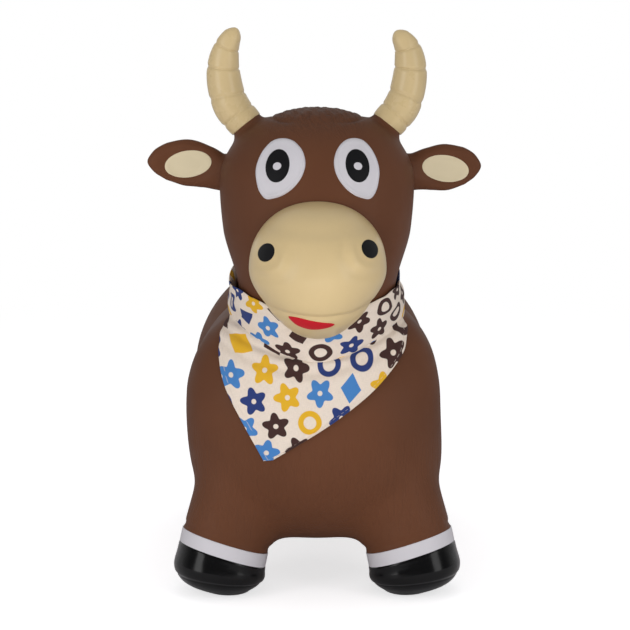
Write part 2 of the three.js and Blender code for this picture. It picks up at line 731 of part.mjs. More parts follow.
const collarCentre = upNeck(COLLAR_LIFT);
const collarInner = neckBallHalf + CLOTH_CLEAR;
const collarRing = new THREE.TorusGeometry(collarInner, 1, STRIP_SIDES, COLLAR_STEPS);
const collarPoints = collarRing.getAttribute('position');
for (let i = 0; i < collarPoints.count; i += 1) {
  const around = Math.atan2(collarPoints.getY(i), collarPoints.getX(i));
  const rise = collarPoints.getZ(i);
  const out = Math.hypot(collarPoints.getX(i), collarPoints.getY(i)) - collarInner;
  const fold = COLLAR_FOLD * Math.sin(COLLAR_TWISTS * around + 3 * rise) * Math.max(0, out);
  const radius = collarInner + (COLLAR_THICK / 2) * (1 + out) + fold;
  collarPoints.setXYZ(i, radius * Math.cos(around), radius * Math.sin(around), COLLAR_HALF_HEIGHT * rise);
}
collarRing.applyQuaternion(new THREE.Quaternion().setFromUnitVectors(UP, neckAxis));
collarRing.translate(collarCentre.x, collarCentre.y, collarCentre.z);
const collar = cut(solidOf(collarRing), barrelGrown(CLOTH_CLEAR));
piece('bandana_collar', COTTON, collar);

const flapEdge = (points) => new THREE.SplineCurve(points.map(([x, z]) => new THREE.Vector2(x, z)));
const flapRight = flapEdge(FLAP_RIGHT_EDGE);
const flapLeft = flapEdge(FLAP_LEFT_EDGE);
const flapSheet = new THREE.BoxGeometry(1, 1, 1, FLAP_COLUMNS, FLAP_ROWS, 1);
const flapPoints = flapSheet.getAttribute('position');
for (let i = 0; i < flapPoints.count; i += 1) {
  const across = flapPoints.getX(i) + 0.5;
  const down = 0.5 - flapPoints.getY(i);
  const [x, z] = flapRight.getPoint(down).lerp(flapLeft.getPoint(down), across).toArray();
  const seat = touch(barrelMesh, new THREE.Vector3(x, -FAR, z), NORTH);
  const ridge = FLAP_FOLD * (1 + Math.cos(2 * Math.PI * FLAP_FOLDS * across)) * Math.sin(Math.PI * down);
  const lift = FLAP_CLEAR + (flapPoints.getZ(i) > 0 ? CLOTH : 0) + ridge;
  const point = seat.point.addScaledVector(seat.normal, lift);
  flapPoints.setXYZ(i, point.x, point.y, point.z);
}
const hingeAt = new THREE.Vector3(0, 0, FLAP_HINGE_Z);
const drape = cut(solidOf(flapSheet), underBarrel);
const underCollar = upNeck(COLLAR_LIFT - COLLAR_HALF_HEIGHT - GAP);
const collarSpace = rod(
  underCollar,
  collarCentre,
  collarInner + COLLAR_THICK + COLLAR_FOLD + GAP,
  2 * (COLLAR_HALF_HEIGHT + GAP),
);
const underYoke = beyond(hingeAt, UP.clone().negate());
const overFlap = beyond(hingeAt.clone().addScaledVector(UP, -GAP), UP);
piece('bandana_yoke', COTTON, cut(drape, underYoke, collarSpace, beyond(collarCentre, neckAxis)));
piece('bandana_flap', COTTON, cut(drape, overFlap));

const collarBack = new THREE.Vector3().crossVectors(EAST, neckAxis).negate();
const knotAt = collarCentre.clone().addScaledVector(collarBack, collarInner + COLLAR_THICK + KNOT_STAND);
const knotBall = new THREE.SphereGeometry(1, LIMB_SIDES, LIMB_SIDES / 2);
knotBall.scale(KNOT_HALF.x, KNOT_HALF.y, KNOT_HALF.z);
knotBall.translate(knotAt.x, knotAt.y, knotAt.z);
const knot = cut(solidOf(knotBall), collarSpace, barrelGrown(CLOTH_CLEAR));
piece('bandana_knot', COTTON, knot);
const knotClear = solidOf(grown(knotBall, GAP));
for (const [side, sign] of [['left', 1], ['right', -1]]) {
  const direction = new THREE.Vector3(sign * Math.sin(END_SPREAD), Math.cos(END_SPREAD), 0);
  const stations = [0, 0.4, 0.7, 1].map((share) => {
    const over = knotAt.clone().addScaledVector(direction, share * END_LONG).setZ(FAR);
    const seat = touch(barrelMesh, over, UP.clone().negate());
    const hang = (knotAt.z - seat.point.z) * Math.max(0, 1 - share / END_HANG) ** 2;
    return {
      at: seat.point.clone().addScaledVector(UP, CLOTH + CLOTH_CLEAR + hang),
      half: [THREE.MathUtils.lerp(END_ROOT_HALF, END_HALF, share), CLOTH, CLOTH],
    };
  });
  const strip = blown({
    stations,
    sideways: new THREE.Vector3().crossVectors(direction, UP).normalize(),
    start: FLAT_END,
    end: END_CAP,
    between: 8,
    sides: STRIP_SIDES,
  });
  const middle = beyond(new THREE.Vector3(sign * GAP / 2, 0, 0), EAST.clone().multiplyScalar(-sign));
  piece(`bandana_end_${side}`, COTTON, cut(solidOf(strip), knotClear, middle, barrelGrown(GAP), collarSpace));
}

export default hopper;
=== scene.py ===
"""Bouncy animal hopper: the dressed model of an air-filled bull with a cotton bandana, and its studio."""

from __future__ import annotations

import logging
import math
from dataclasses import dataclass
from enum import Enum
from typing import Callable, Optional, Sequence, Union

import bpy
import numpy as np
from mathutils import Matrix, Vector
from mathutils.bvhtree import BVHTree


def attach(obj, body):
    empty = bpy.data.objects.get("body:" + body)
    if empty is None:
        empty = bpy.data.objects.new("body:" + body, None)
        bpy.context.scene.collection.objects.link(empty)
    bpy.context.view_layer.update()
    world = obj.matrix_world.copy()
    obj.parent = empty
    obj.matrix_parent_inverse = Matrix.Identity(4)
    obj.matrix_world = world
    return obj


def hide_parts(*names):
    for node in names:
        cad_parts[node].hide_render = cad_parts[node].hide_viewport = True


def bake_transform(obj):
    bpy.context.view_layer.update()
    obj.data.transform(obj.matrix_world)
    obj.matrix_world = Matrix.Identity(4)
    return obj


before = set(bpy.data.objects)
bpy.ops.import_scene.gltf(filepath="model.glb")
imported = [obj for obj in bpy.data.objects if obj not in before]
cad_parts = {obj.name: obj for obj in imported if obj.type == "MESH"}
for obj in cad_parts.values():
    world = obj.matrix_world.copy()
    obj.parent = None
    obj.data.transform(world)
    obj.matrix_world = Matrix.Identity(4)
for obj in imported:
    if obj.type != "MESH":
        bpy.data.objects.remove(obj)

LOG = logging.getLogger("hopper")
MM = 0.001
EAST = np.array((1.0, 0.0, 0.0))
NORTH = np.array((0.0, 1.0, 0.0))
UP = np.array((0.0, 0.0, 1.0))
FAR_OFF = 500.0
FULL_TURN = 2 * math.pi

Number = Union[float, "Value"]
Point = tuple[float, float, float]
Tint = tuple[float, float, float, float]
Levels = tuple[float, float, float, float]
Outline = tuple[tuple[float, float], ...]
Place = Callable[[np.ndarray, np.ndarray], np.ndarray]

# The neck: its foot, its lean, and the ways along it and towards its back
NECK = np.array((0.0, -97.0, 278.0))
NECK_LEAN = math.radians(28.0)
NECK_AXIS = np.array((0.0, -math.sin(NECK_LEAN), math.cos(NECK_LEAN)))
NECK_BACK = np.array((0.0, math.cos(NECK_LEAN), math.sin(NECK_LEAN)))


class Start(Enum):
    """The primitive that a piece is shaped from."""

    BALL = "ball"
    RING = "ring"


class Side(Enum):
    """The animal's own side, with the sign of its x."""

    LEFT = 1.0
    RIGHT = -1.0

    @property
    def word(self) -> str:
        """The side in a piece's name."""
        return self.name.lower()


# Curves and meshes


def unit(vector: Sequence[float]) -> np.ndarray:
    """The vector at length 1."""
    array = np.asarray(vector, float)
    return array / np.linalg.norm(array)


def smoothstep(low: float, high: float, value: np.ndarray) -> np.ndarray:
    """A soft step from 0 at low to 1 at high."""
    share = np.clip((value - low) / (high - low), 0.0, 1.0)
    return share * share * (3.0 - 2.0 * share)


def hump(value: np.ndarray, width: float) -> np.ndarray:
    """A bell of height 1 round value 0."""
    return np.exp(-((value / width) ** 2))


def window(value: np.ndarray, levels: Levels) -> np.ndarray:
    """A soft window that opens over the first two levels and closes over the last two."""
    opens, opened, closes, closed = levels
    return smoothstep(opens, opened, value) * (1 - smoothstep(closes, closed, value))


def squarer(wave: np.ndarray, power: Union[float, np.ndarray]) -> np.ndarray:
    """A wave from -1 to 1 with its size raised to a power and its sign kept."""
    return np.sign(wave) * np.abs(wave) ** power


def ball(turn: np.ndarray, share: np.ndarray) -> np.ndarray:
    """Points of a ball of radius 1, at turns round it and shares from pole to pole."""
    ring = np.sin(share * math.pi)
    return np.stack([ring * np.cos(turn), ring * np.sin(turn), np.cos(share * math.pi)], axis=1)


def circle(turn: np.ndarray, first: np.ndarray, second: np.ndarray) -> np.ndarray:
    """Directions at turns from a first way towards a second."""
    return first * np.cos(turn)[:, None] + second * np.sin(turn)[:, None]


def spline(points: Sequence[Sequence[float]], share: np.ndarray) -> np.ndarray:
    """A smooth open curve through points.

    Args:
        points: The points that it goes through, of any dimension.
        share: How far along each wanted point lies, from 0 to 1.

    Returns:
        One row per share.
    """
    path = np.asarray(points, float)
    ends = np.vstack([2 * path[0] - path[1], path, 2 * path[-1] - path[-2]])
    reach = np.clip(share, 0.0, 1.0) * (len(path) - 1)
    first = np.minimum(reach.astype(int), len(path) - 2)
    rest = (reach - first)[:, None]
    a, b, c, d = (ends[first + i] for i in range(4))
    step = [np.sum((q - p) ** 2, axis=1)[:, None] ** 0.25 for p, q in ((a, b), (b, c), (c, d))]
    mid = np.where(step[1] < 1e-4, 1.0, step[1])
    before = np.where(step[0] < 1e-4, mid, step[0])
    after = np.where(step[2] < 1e-4, mid, step[2])
    leave = mid * ((b - a) / before - (c - a) / (before + mid) + (c - b) / mid)
    enter = mid * ((c - b) / mid - (d - b) / (mid + after) + (d - c) / after)
    bend = -3 * b + 3 * c - 2 * leave - enter
    twist = 2 * b - 2 * c + leave + enter
    return b + leave * rest + bend * rest**2 + twist * rest**3


def closed_spline(points: Sequence[Sequence[float]], share: np.ndarray) -> np.ndarray:
    """A smooth closed curve through points, at shares of one round.

    Args:
        points: The points that it goes through.
        share: Shares of one round.

    Returns:
        One row per share.
    """
    path = np.asarray(points, float)
    reach = np.mod(share, 1.0) * len(path)
    first = reach.astype(int) % len(path)
    rest = (reach - np.floor(reach))[:, None]
    a, b, c, d = (path[(first + i - 1) % len(path)] for i in range(4))
    return 0.5 * (
        2 * b
        + (c - a) * rest
        + (2 * a - 5 * b + 4 * c - d) * rest**2
        + (3 * b - a - 3 * c + d) * rest**3
    )


def deselect() -> None:
    """Leaves nothing selected."""
    bpy.ops.object.select_all(action="DESELECT")


def activate(obj: bpy.types.Object) -> None:
    """Selects one object alone."""
    deselect()
    obj.select_set(True)
    bpy.context.view_layer.objects.active = obj


def points_of(obj: bpy.types.Object) -> np.ndarray:
    """An object's vertices, in millimetres."""
    flat = np.zeros(len(obj.data.vertices) * 3)
    obj.data.vertices.foreach_get("co", flat)
    return flat.reshape(-1, 3) / MM


def normals_of(obj: bpy.types.Object) -> np.ndarray:
    """An object's vertex normals."""
    flat = np.zeros(len(obj.data.vertices) * 3)
    obj.data.vertex_normals.foreach_get("vector", flat)
    return flat.reshape(-1, 3)


def move_points(obj: bpy.types.Object, points: np.ndarray) -> None:
    """Puts an object's vertices at new places, in millimetres."""
    obj.data.vertices.foreach_set("co", np.ascontiguousarray(points * MM).ravel())
    obj.data.update()


def modify(obj: bpy.types.Object, kind: str, **settings: object) -> None:
    """Adds a modifier and applies it.

    Args:
        obj: The piece.
        kind: The modifier's type.
        settings: Its values by name.
    """
    activate(obj)
    modifier = obj.modifiers.new(kind.lower(), kind)
    for key, value in settings.items():
        setattr(modifier, key, value)
    bpy.ops.object.modifier_apply(modifier=modifier.name)


def face_outwards(obj: bpy.types.Object) -> None:
    """Turns a closed mesh's faces outwards and shades it smooth.

    Args:
        obj: The piece.
    """
    activate(obj)
    bpy.ops.object.mode_set(mode="EDIT")
    bpy.ops.mesh.select_all(action="SELECT")
    bpy.ops.mesh.normals_make_consistent(inside=False)
    bpy.ops.object.mode_set(mode="OBJECT")
    bpy.ops.object.shade_smooth()


def shaped(name: str, start: Start, around: int, along: int, place: Place) -> bpy.types.Object:
    """Shapes a primitive into a piece.

    Args:
        name: The piece's name.
        start: The primitive.
        around: Its steps round the axis.
        along: Its steps from pole to pole, or round the ring's section.
        place: Takes each vertex's turn and its share from pole to pole, or the section's angle, and gives
            its place in millimetres.

    Returns:
        The piece, closed and facing outwards.
    """
    deselect()
    if start is Start.BALL:
        bpy.ops.mesh.primitive_uv_sphere_add(segments=around, ring_count=along, radius=1.0)
    else:
        bpy.ops.mesh.primitive_torus_add(
            major_segments=around, minor_segments=along, major_radius=2.0, minor_radius=1.0
        )
    obj = bpy.context.object
    obj.name = name
    obj.data.name = name
    flat = np.zeros(len(obj.data.vertices) * 3)
    obj.data.vertices.foreach_get("co", flat)
    x, y, z = flat.reshape(-1, 3).T
    turn = np.arctan2(y, x)
    if start is Start.BALL:
        other = np.arccos(np.clip(z, -1.0, 1.0)) / math.pi
    else:
        other = np.arctan2(z, np.hypot(x, y) - 2.0)
    while obj.data.uv_layers:
        obj.data.uv_layers.remove(obj.data.uv_layers[0])
    move_points(obj, place(turn, other))
    face_outwards(obj)
    return obj


def fused(pieces: Sequence[bpy.types.Object], voxel: float) -> bpy.types.Object:
    """Joins closed pieces into one skin.

    Args:
        pieces: The pieces; the first one's name stays.
        voxel: The skin's step, in millimetres.

    Returns:
        The one skin.
    """
    activate(pieces[0])
    for piece in pieces[1:]:
        piece.select_set(True)
    bpy.ops.object.join()
    modify(pieces[0], "REMESH", mode="VOXEL", voxel_size=voxel * MM, use_smooth_shade=True)
    return pieces[0]


def softened(obj: bpy.types.Object, times: int, weight: Optional[np.ndarray] = None) -> None:
    """Evens out a skin, all over or by weight.

    Args:
        obj: The skin.
        times: How many passes.
        weight: One number per vertex from 0 to 1.
    """
    settings: dict[str, object] = {"factor": 0.5, "iterations": times}
    if weight is not None:
        group = obj.vertex_groups.new(name="soft")
        levels = np.round(weight * 10).astype(int)
        for level in range(1, 11):
            chosen = np.flatnonzero(levels == level)
            if len(chosen):
                group.add(chosen.tolist(), level / 10, "REPLACE")
        settings["vertex_group"] = "soft"
    modify(obj, "SMOOTH", **settings)
    obj.vertex_groups.clear()


@dataclass(frozen=True)
class Station:
    """A place on a form's spine with its half sizes: sideways, over and under, in millimetres."""

    at: Point
    half: Point


@dataclass(frozen=True)
class Cap:
    """The end of a form: the share of the spine that it closes over, or 0 for flat, and how square it is."""

    share: float
    square: float = 2.0


@dataclass(frozen=True)
class Form:
    """A form blown round a spine."""

    stations: Sequence[Station]
    start: Cap
    end: Cap
    sideways: Point = (1.0, 0.0, 0.0)
    square: float = 2.0
    flat_rows: float = 0.08
    ripple: Optional[Callable[[np.ndarray, np.ndarray], np.ndarray]] = None
    over_square: Optional[Callable[[np.ndarray], np.ndarray]] = None

    def spine(self, along: np.ndarray) -> np.ndarray:
        """Points of the spine at shares of its length."""
        return spline([station.at for station in self.stations], along)

    def tangent(self, along: np.ndarray) -> np.ndarray:
        """Directions of the spine at shares of its length."""
        step = self.spine(np.clip(along + 1e-4, 0, 1)) - self.spine(np.clip(along - 1e-4, 0, 1))
        return step / np.linalg.norm(step, axis=1)[:, None]

    def rows(self, share: np.ndarray) -> tuple[np.ndarray, np.ndarray]:
        """Where rows lie on the spine and how much of the section they have, from pole to pole.

        Args:
            share: Shares from pole to pole.

        Returns:
            The places on the spine and the sizes, as shares.
        """
        first = max(self.start.share, self.flat_rows)
        last = max(self.end.share, self.flat_rows)

        def cap(part: np.ndarray, cap_end: Cap) -> tuple[np.ndarray, np.ndarray]:
            """One end's rows: how far along the spine they lie, and their share of the section."""
            turn = np.clip(part, 0, 1) * math.pi / 2
            power = 2 / cap_end.square
            if cap_end.share == 0:
                return np.zeros_like(part), np.clip(part, 0, 1)
            return cap_end.share * (1 - np.cos(turn) ** power), np.sin(turn) ** power

        a_along, a_size = cap(share / first, self.start)
        b_along, b_size = cap((1 - share) / last, self.end)
        middle = self.start.share + (share - first) / (1 - first - last) * (
            1 - self.start.share - self.end.share
        )
        along = np.where(share < first, a_along, np.where(share > 1 - last, 1 - b_along, middle))
        size = np.where(share < first, a_size, np.where(share > 1 - last, b_size, 1.0))
        return along, size

    def place(self, turn: np.ndarray, share: np.ndarray) -> np.ndarray:
        """The form's points at turns round the spine and shares from pole to pole.

        Args:
            turn: Turns round the spine.
            share: Shares from pole to pole.

        Returns:
            The points, in millimetres.
        """
        along, size = self.rows(share)
        half = spline([station.half for station in self.stations], along)
        if self.ripple is not None:
            half = half + self.ripple(along, turn)[:, None]
        half = half * size[:, None]
        tangent = self.tangent(along)
        over = np.cross(np.asarray(self.sideways), tangent)
        over = over / np.linalg.norm(over, axis=1)[:, None]
        across = np.cross(tangent, over)
        power = np.full_like(turn, 2 / self.square)
        if self.over_square is not None:
            power = np.where(np.sin(turn) > 0, 2 / self.over_square(along), power)
        level = squarer(np.cos(turn), power)
        rise = squarer(np.sin(turn), power)
        lift = np.where(rise > 0, half[:, 1], half[:, 2]) * rise
        return self.spine(along) + across * (half[:, 0] * level)[:, None] + over * lift[:, None]

    def build(self, name: str, around: int, along: int) -> bpy.types.Object:
        """The form as a closed piece."""
        return shaped(name, Start.BALL, around, along, self.place)


class Surface:
    """A skin that other pieces are laid on."""

    def __init__(self, obj: bpy.types.Object) -> None:
        """Keeps the skin's faces for rays."""
        self.tree = BVHTree.FromObject(obj, bpy.context.evaluated_depsgraph_get())

    def hit(self, start: Sequence[float], direction: Sequence[float]) -> tuple[np.ndarray, np.ndarray]:
        """Where a ray meets the skin.

        Args:
            start: The ray's start, in millimetres.
            direction: The ray's direction.

        Returns:
            The point in millimetres and the skin's normal there; the nearest point where the ray misses.
        """
        origin = Vector(start) * MM
        point, normal, _, _ = self.tree.ray_cast(origin, Vector(direction).normalized())
        if point is None:
            point, normal, _, _ = self.tree.find_nearest(origin)
        return np.array(point) / MM, np.array(normal)

    def front(self, x: np.ndarray, z: np.ndarray) -> tuple[np.ndarray, np.ndarray]:
        """Points and normals of the skin straight behind places in front view."""
        found = [self.hit((a, -FAR_OFF, b), NORTH) for a, b in zip(x, z)]
        return np.array([f[0] for f in found]), np.array([f[1] for f in found])

    def push_out(self, points: np.ndarray, clear: float) -> np.ndarray:
        """Points moved so that each lies at least clear outside the skin.

        Args:
            points: The points, in millimetres.
            clear: The least gap, in millimetres.

        Returns:
            The moved points.
        """
        moved = points.copy()
        for i, point in enumerate(points):
            near, normal, _, _ = self.tree.find_nearest(Vector(point) * MM)
            gap = float((Vector(point) * MM - near).dot(normal)) / MM
            if gap < clear:
                moved[i] = point + np.array(normal) * (clear - gap)
        return moved


# Shader graphs


class Value:
    """A shader socket that takes part in expressions."""

    def __init__(self, graph: "Nodes", socket: bpy.types.NodeSocket) -> None:
        """Wraps an output socket of a graph."""
        self.graph = graph
        self.socket = socket

    def _math(self, operation: str, first: Number, second: Number = 0.0) -> "Value":
        """One Math node."""
        return self.graph.node("ShaderNodeMath", {"operation": operation}, {0: first, 1: second})

    def __add__(self, other: Number) -> "Value":
        """self + other."""
        return self._math("ADD", self, other)

    __radd__ = __add__

    def __sub__(self, other: Number) -> "Value":
        """self - other."""
        return self._math("SUBTRACT", self, other)

    def __rsub__(self, other: Number) -> "Value":
        """other - self."""
        return self._math("SUBTRACT", other, self)

    def __mul__(self, other: Number) -> "Value":
        """self * other."""
        return self._math("MULTIPLY", self, other)

    __rmul__ = __mul__

    def __pow__(self, other: Number) -> "Value":
        """self to a power."""
        return self._math("POWER", self, other)

    def absolute(self) -> "Value":
        """The size without its sign."""
        return self._math("ABSOLUTE", self)

    def floor(self) -> "Value":
        """The whole number below."""
        return self._math("FLOOR", self)

    def cosine(self) -> "Value":
        """The cosine of an angle."""
        return self._math("COSINE", self)

    def sine(self) -> "Value":
        """The sine of an angle."""
        return self._math("SINE", self)

    def most(self, other: Number) -> "Value":
        """The larger of two."""
        return self._math("MAXIMUM", self, other)

    def over(self, other: Number) -> "Value":
        """1 where this is larger than the other."""
        return self._math("GREATER_THAN", self, other)

    def step(self, low: float, high: float) -> "Value":
        """A soft step from 0 at low to 1 at high."""
        return self.graph.node(
            "ShaderNodeMapRange",
            {"interpolation_type": "SMOOTHSTEP"},
            {"Value": self, "From Min": low, "From Max": high},
        )

    def ridge(self, sharp: float) -> "Value":
        """A ridge of height 1 along the line where this is a half."""
        return (1.0 - (self - 0.5).absolute() * sharp).most(0.0)


class Nodes:
    """A node tree that expressions fill."""

    def __init__(self, tree: bpy.types.NodeTree) -> None:
        """Takes a tree and empties it."""
        self.tree = tree
        self.tree.nodes.clear()

    def node(
        self,
        kind: str,
        settings: Optional[dict[str, object]] = None,
        inputs: Optional[dict[Union[int, str], object]] = None,
        output: Union[int, str] = 0,
    ) -> Value:
        """Adds a node.

        Args:
            kind: The node's type.
            settings: Its own values, set first; stops are a ramp's (place, colour) pairs.
            inputs: A value or a link for each named or numbered socket.
            output: The socket that is wanted.

        Returns:
            That socket.
        """
        made = self.tree.nodes.new(kind)
        for key, value in (settings or {}).items():
            if key == "stops":
                ramp = made.color_ramp
                while len(ramp.elements) < len(value):
                    ramp.elements.new(1.0)
                for element, (place, colour) in zip(ramp.elements, value):
                    element.position = place
                    element.color = colour
            elif key == "interpolation":
                made.color_ramp.interpolation = value
            else:
                setattr(made, key, value)
        for key, value in (inputs or {}).items():
            if isinstance(value, Value):
                self.tree.links.new(value.socket, made.inputs[key])
            else:
                made.inputs[key].default_value = value
        return Value(self, made.outputs[output])

    def axes(self, vector: Value) -> tuple[Value, Value, Value]:
        """A vector's three numbers."""
        split = self.node("ShaderNodeSeparateXYZ", None, {0: vector})
        outputs = split.socket.node.outputs
        return Value(self, outputs[0]), Value(self, outputs[1]), Value(self, outputs[2])


class Graph(Nodes):
    """A material's node tree with a Principled shader at its end."""

    def __init__(self, name: str) -> None:
        """Makes an empty material."""
        self.material = bpy.data.materials.new(name)
        self.material.use_nodes = True
        super().__init__(self.material.node_tree)
        self.shader = self.tree.nodes.new("ShaderNodeBsdfPrincipled")
        self.end = self.tree.nodes.new("ShaderNodeOutputMaterial")
        self.tree.links.new(self.shader.outputs[0], self.end.inputs[0])

    def place(self) -> Value:
        """Object coordinates, in metres."""
        return self.node("ShaderNodeTexCoord", output="Object")

    def vector(self, x: Number, y: Number, z: Number) -> Value:
        """A vector from three numbers."""
        return self.node("ShaderNodeCombineXYZ", None, {0: x, 1: y, 2: z})

    def scaled(self, vector: Value, scale: Point) -> Value:
        """A vector with each axis scaled."""
        return self.node("ShaderNodeVectorMath", {"operation": "MULTIPLY"}, {0: vector, 1: scale})

    def noise(self, vector: Value, scale: float, detail: float = 2.0, rough: float = 0.5) -> Value:
        """Soft noise from 0 to 1, with scale in lumps per metre."""
        return self.node(
            "ShaderNodeTexNoise",
            None,
            {"Vector": vector, "Scale": scale, "Detail": detail, "Roughness": rough},
        )

    def mixed(self, share: Number, first: object, second: object) -> Value:
        """A colour between two."""
        return self.node(
            "ShaderNodeMix", {"data_type": "RGBA"}, {0: share, 6: first, 7: second}, 2
        )

    def bump(self, height: Value, strength: float, depth: float) -> Value:
        """A normal from a height, with depth in millimetres."""
        return self.node(
            "ShaderNodeBump", None, {"Strength": strength, "Distance": depth * MM, "Height": height}
        )

    def set(self, **sockets: object) -> bpy.types.Material:
        """Gives the shader its values and links.

        Args:
            sockets: Values by socket name, with _ for a space.

        Returns:
            The material.
        """
        for key, value in sockets.items():
            socket = self.shader.inputs[key.replace("_", " ")]
            if isinstance(value, Value):
                self.tree.links.new(value.socket, socket)
            else:
                socket.default_value = value
        return self.material


def colour(red: float, green: float, blue: float) -> Tint:
    """A colour for a shader from screen values of 0 to 255."""

    def linear(value: float) -> float:
        """One screen value made linear."""
        share = value / 255
        return share / 12.92 if share <= 0.04045 else ((share + 0.055) / 1.055) ** 2.4

    return linear(red), linear(green), linear(blue), 1.0


def shade(tint: Tint, times: float) -> Tint:
    """A colour made darker or lighter."""
    return tuple(min(1.0, part * times) for part in tint[:3]) + (1.0,)


# Finishes


@dataclass(frozen=True)
class Vinyl:
    """Painted soft vinyl: sprayed colour over a moulded skin with a fine pebble.

    Scales are in lumps per metre and levels in metres.
    """

    name: str
    tint: Tint
    roughness: float
    pebble: float = 0.12
    cloud: float = 0.10
    wrinkles: float = 0.0
    coat: float = 0.0
    shine: float = 0.2
    swell: float = 0.9
    cloud_scale: float = 9.0
    spray_scale: float = 260.0
    spray_share: float = 0.25
    pebble_scale: float = 950.0
    swell_scale: float = 38.0
    wear_scale: float = 24.0
    wear_range: float = 0.1
    spray_range: float = 0.05
    rough_drop: float = 0.07
    coat_roughness: float = 0.16
    wrinkle_scales: Point = (95.0, 95.0, 11.0)
    wrinkle_sharp: float = 16.0
    wrinkle_levels: Levels = (0.05, 0.075, 0.12, 0.19)

    def material(self) -> bpy.types.Material:
        """The finish as a material.

        Returns:
            The material.
        """
        graph = Graph(self.name)
        place = graph.place()
        cloud = graph.noise(place, self.cloud_scale, 3.0)
        spray = graph.noise(place, self.spray_scale)
        share = cloud.step(0.3, 0.7) * (1 - self.spray_share) + spray * self.spray_share
        tint = graph.mixed(share, shade(self.tint, 1 - self.cloud), shade(self.tint, 1 + self.cloud))
        pebble = graph.noise(place, self.pebble_scale)
        height = pebble * self.pebble + graph.noise(place, self.swell_scale) * self.swell
        tint, height = self.marked(graph, place, tint, height)
        worn = graph.noise(place, self.wear_scale, 3.0).step(0.35, 0.75)
        rough = worn * self.wear_range + spray * self.spray_range
        return graph.set(
            Base_Color=tint,
            Roughness=rough + (self.roughness - self.rough_drop),
            Normal=graph.bump(height, 0.5, 0.5),
            Coat_Weight=self.coat,
            Coat_Roughness=self.coat_roughness,
            Specular_IOR_Level=self.shine,
        )

    def marked(self, graph: Graph, place: Value, tint: Value, height: Value) -> tuple[Value, Value]:
        """Adds the upright wrinkles of the legs, where the finish has them.

        Args:
            graph: The finish's graph.
            place: Object coordinates.
            tint: The colour so far.
            height: The relief so far.

        Returns:
            The colour and the relief.
        """
        if not self.wrinkles:
            return tint, height
        _, _, z = graph.axes(place)
        opens, opened, closes, closed = self.wrinkle_levels
        streak = graph.noise(graph.scaled(place, self.wrinkle_scales), 1.0, 3.0, 0.6)
        low = z.step(opens, opened) * (1.0 - z.step(closes, closed))
        return tint, height - streak.ridge(self.wrinkle_sharp) * low * self.wrinkles


@dataclass(frozen=True)
class CrownHair(Vinyl):
    """The head's brown vinyl, with the hair strokes moulded on the crown and painted shade over the crown
    and in the strokes.
    """

    crown_up: tuple[float, float] = (0.452, 0.487)
    crown_out: tuple[float, float] = (0.035, 0.062)
    crown_back: tuple[float, float] = (-0.09, -0.05)
    stroke_scales: Point = (300.0, 60.0, 26.0)
    stroke_lean: float = 190.0
    stroke_sharp: float = 12.0
    stroke_deep: float = 1.6
    # painted shade: how far the sunk strokes and the whole crown are darkened towards the deepest shade
    stroke_shade: float = 0.28
    crown_shade: float = 0.12
    deepest_shade: float = 0.45

    def marked(self, graph: Graph, place: Value, tint: Value, height: Value) -> tuple[Value, Value]:
        """Adds the hair strokes as sunk lines, with painted shade in them and a lighter painted shade over
        the whole crown.

        Args:
            graph: The finish's graph.
            place: Object coordinates.
            tint: The colour so far.
            height: The relief so far.

        Returns:
            The colour and the relief.
        """
        x, y, z = graph.axes(place)
        crown = z.step(*self.crown_up) * (1.0 - x.absolute().step(*self.crown_out))
        crown = crown * (1.0 - y.step(*self.crown_back))
        wide, deep, tall = self.stroke_scales
        slant = graph.vector(x * wide + z * self.stroke_lean, y * deep, z * tall)
        stroke = graph.noise(slant, 1.0).ridge(self.stroke_sharp) * crown
        # painted shade: the crown a little darker, the sunk strokes darker still
        painted_shade = crown * self.crown_shade + stroke * self.stroke_shade
        return graph.mixed(painted_shade, tint, shade(self.tint, self.deepest_shade)), height - stroke * self.stroke_deep


class Seed(Enum):
    """What a motif's random numbers are for."""

    TURN = 3.0
    ACROSS = 5.0
    KIND = 7.0
    ALONG = 9.0
    INK = 11.0


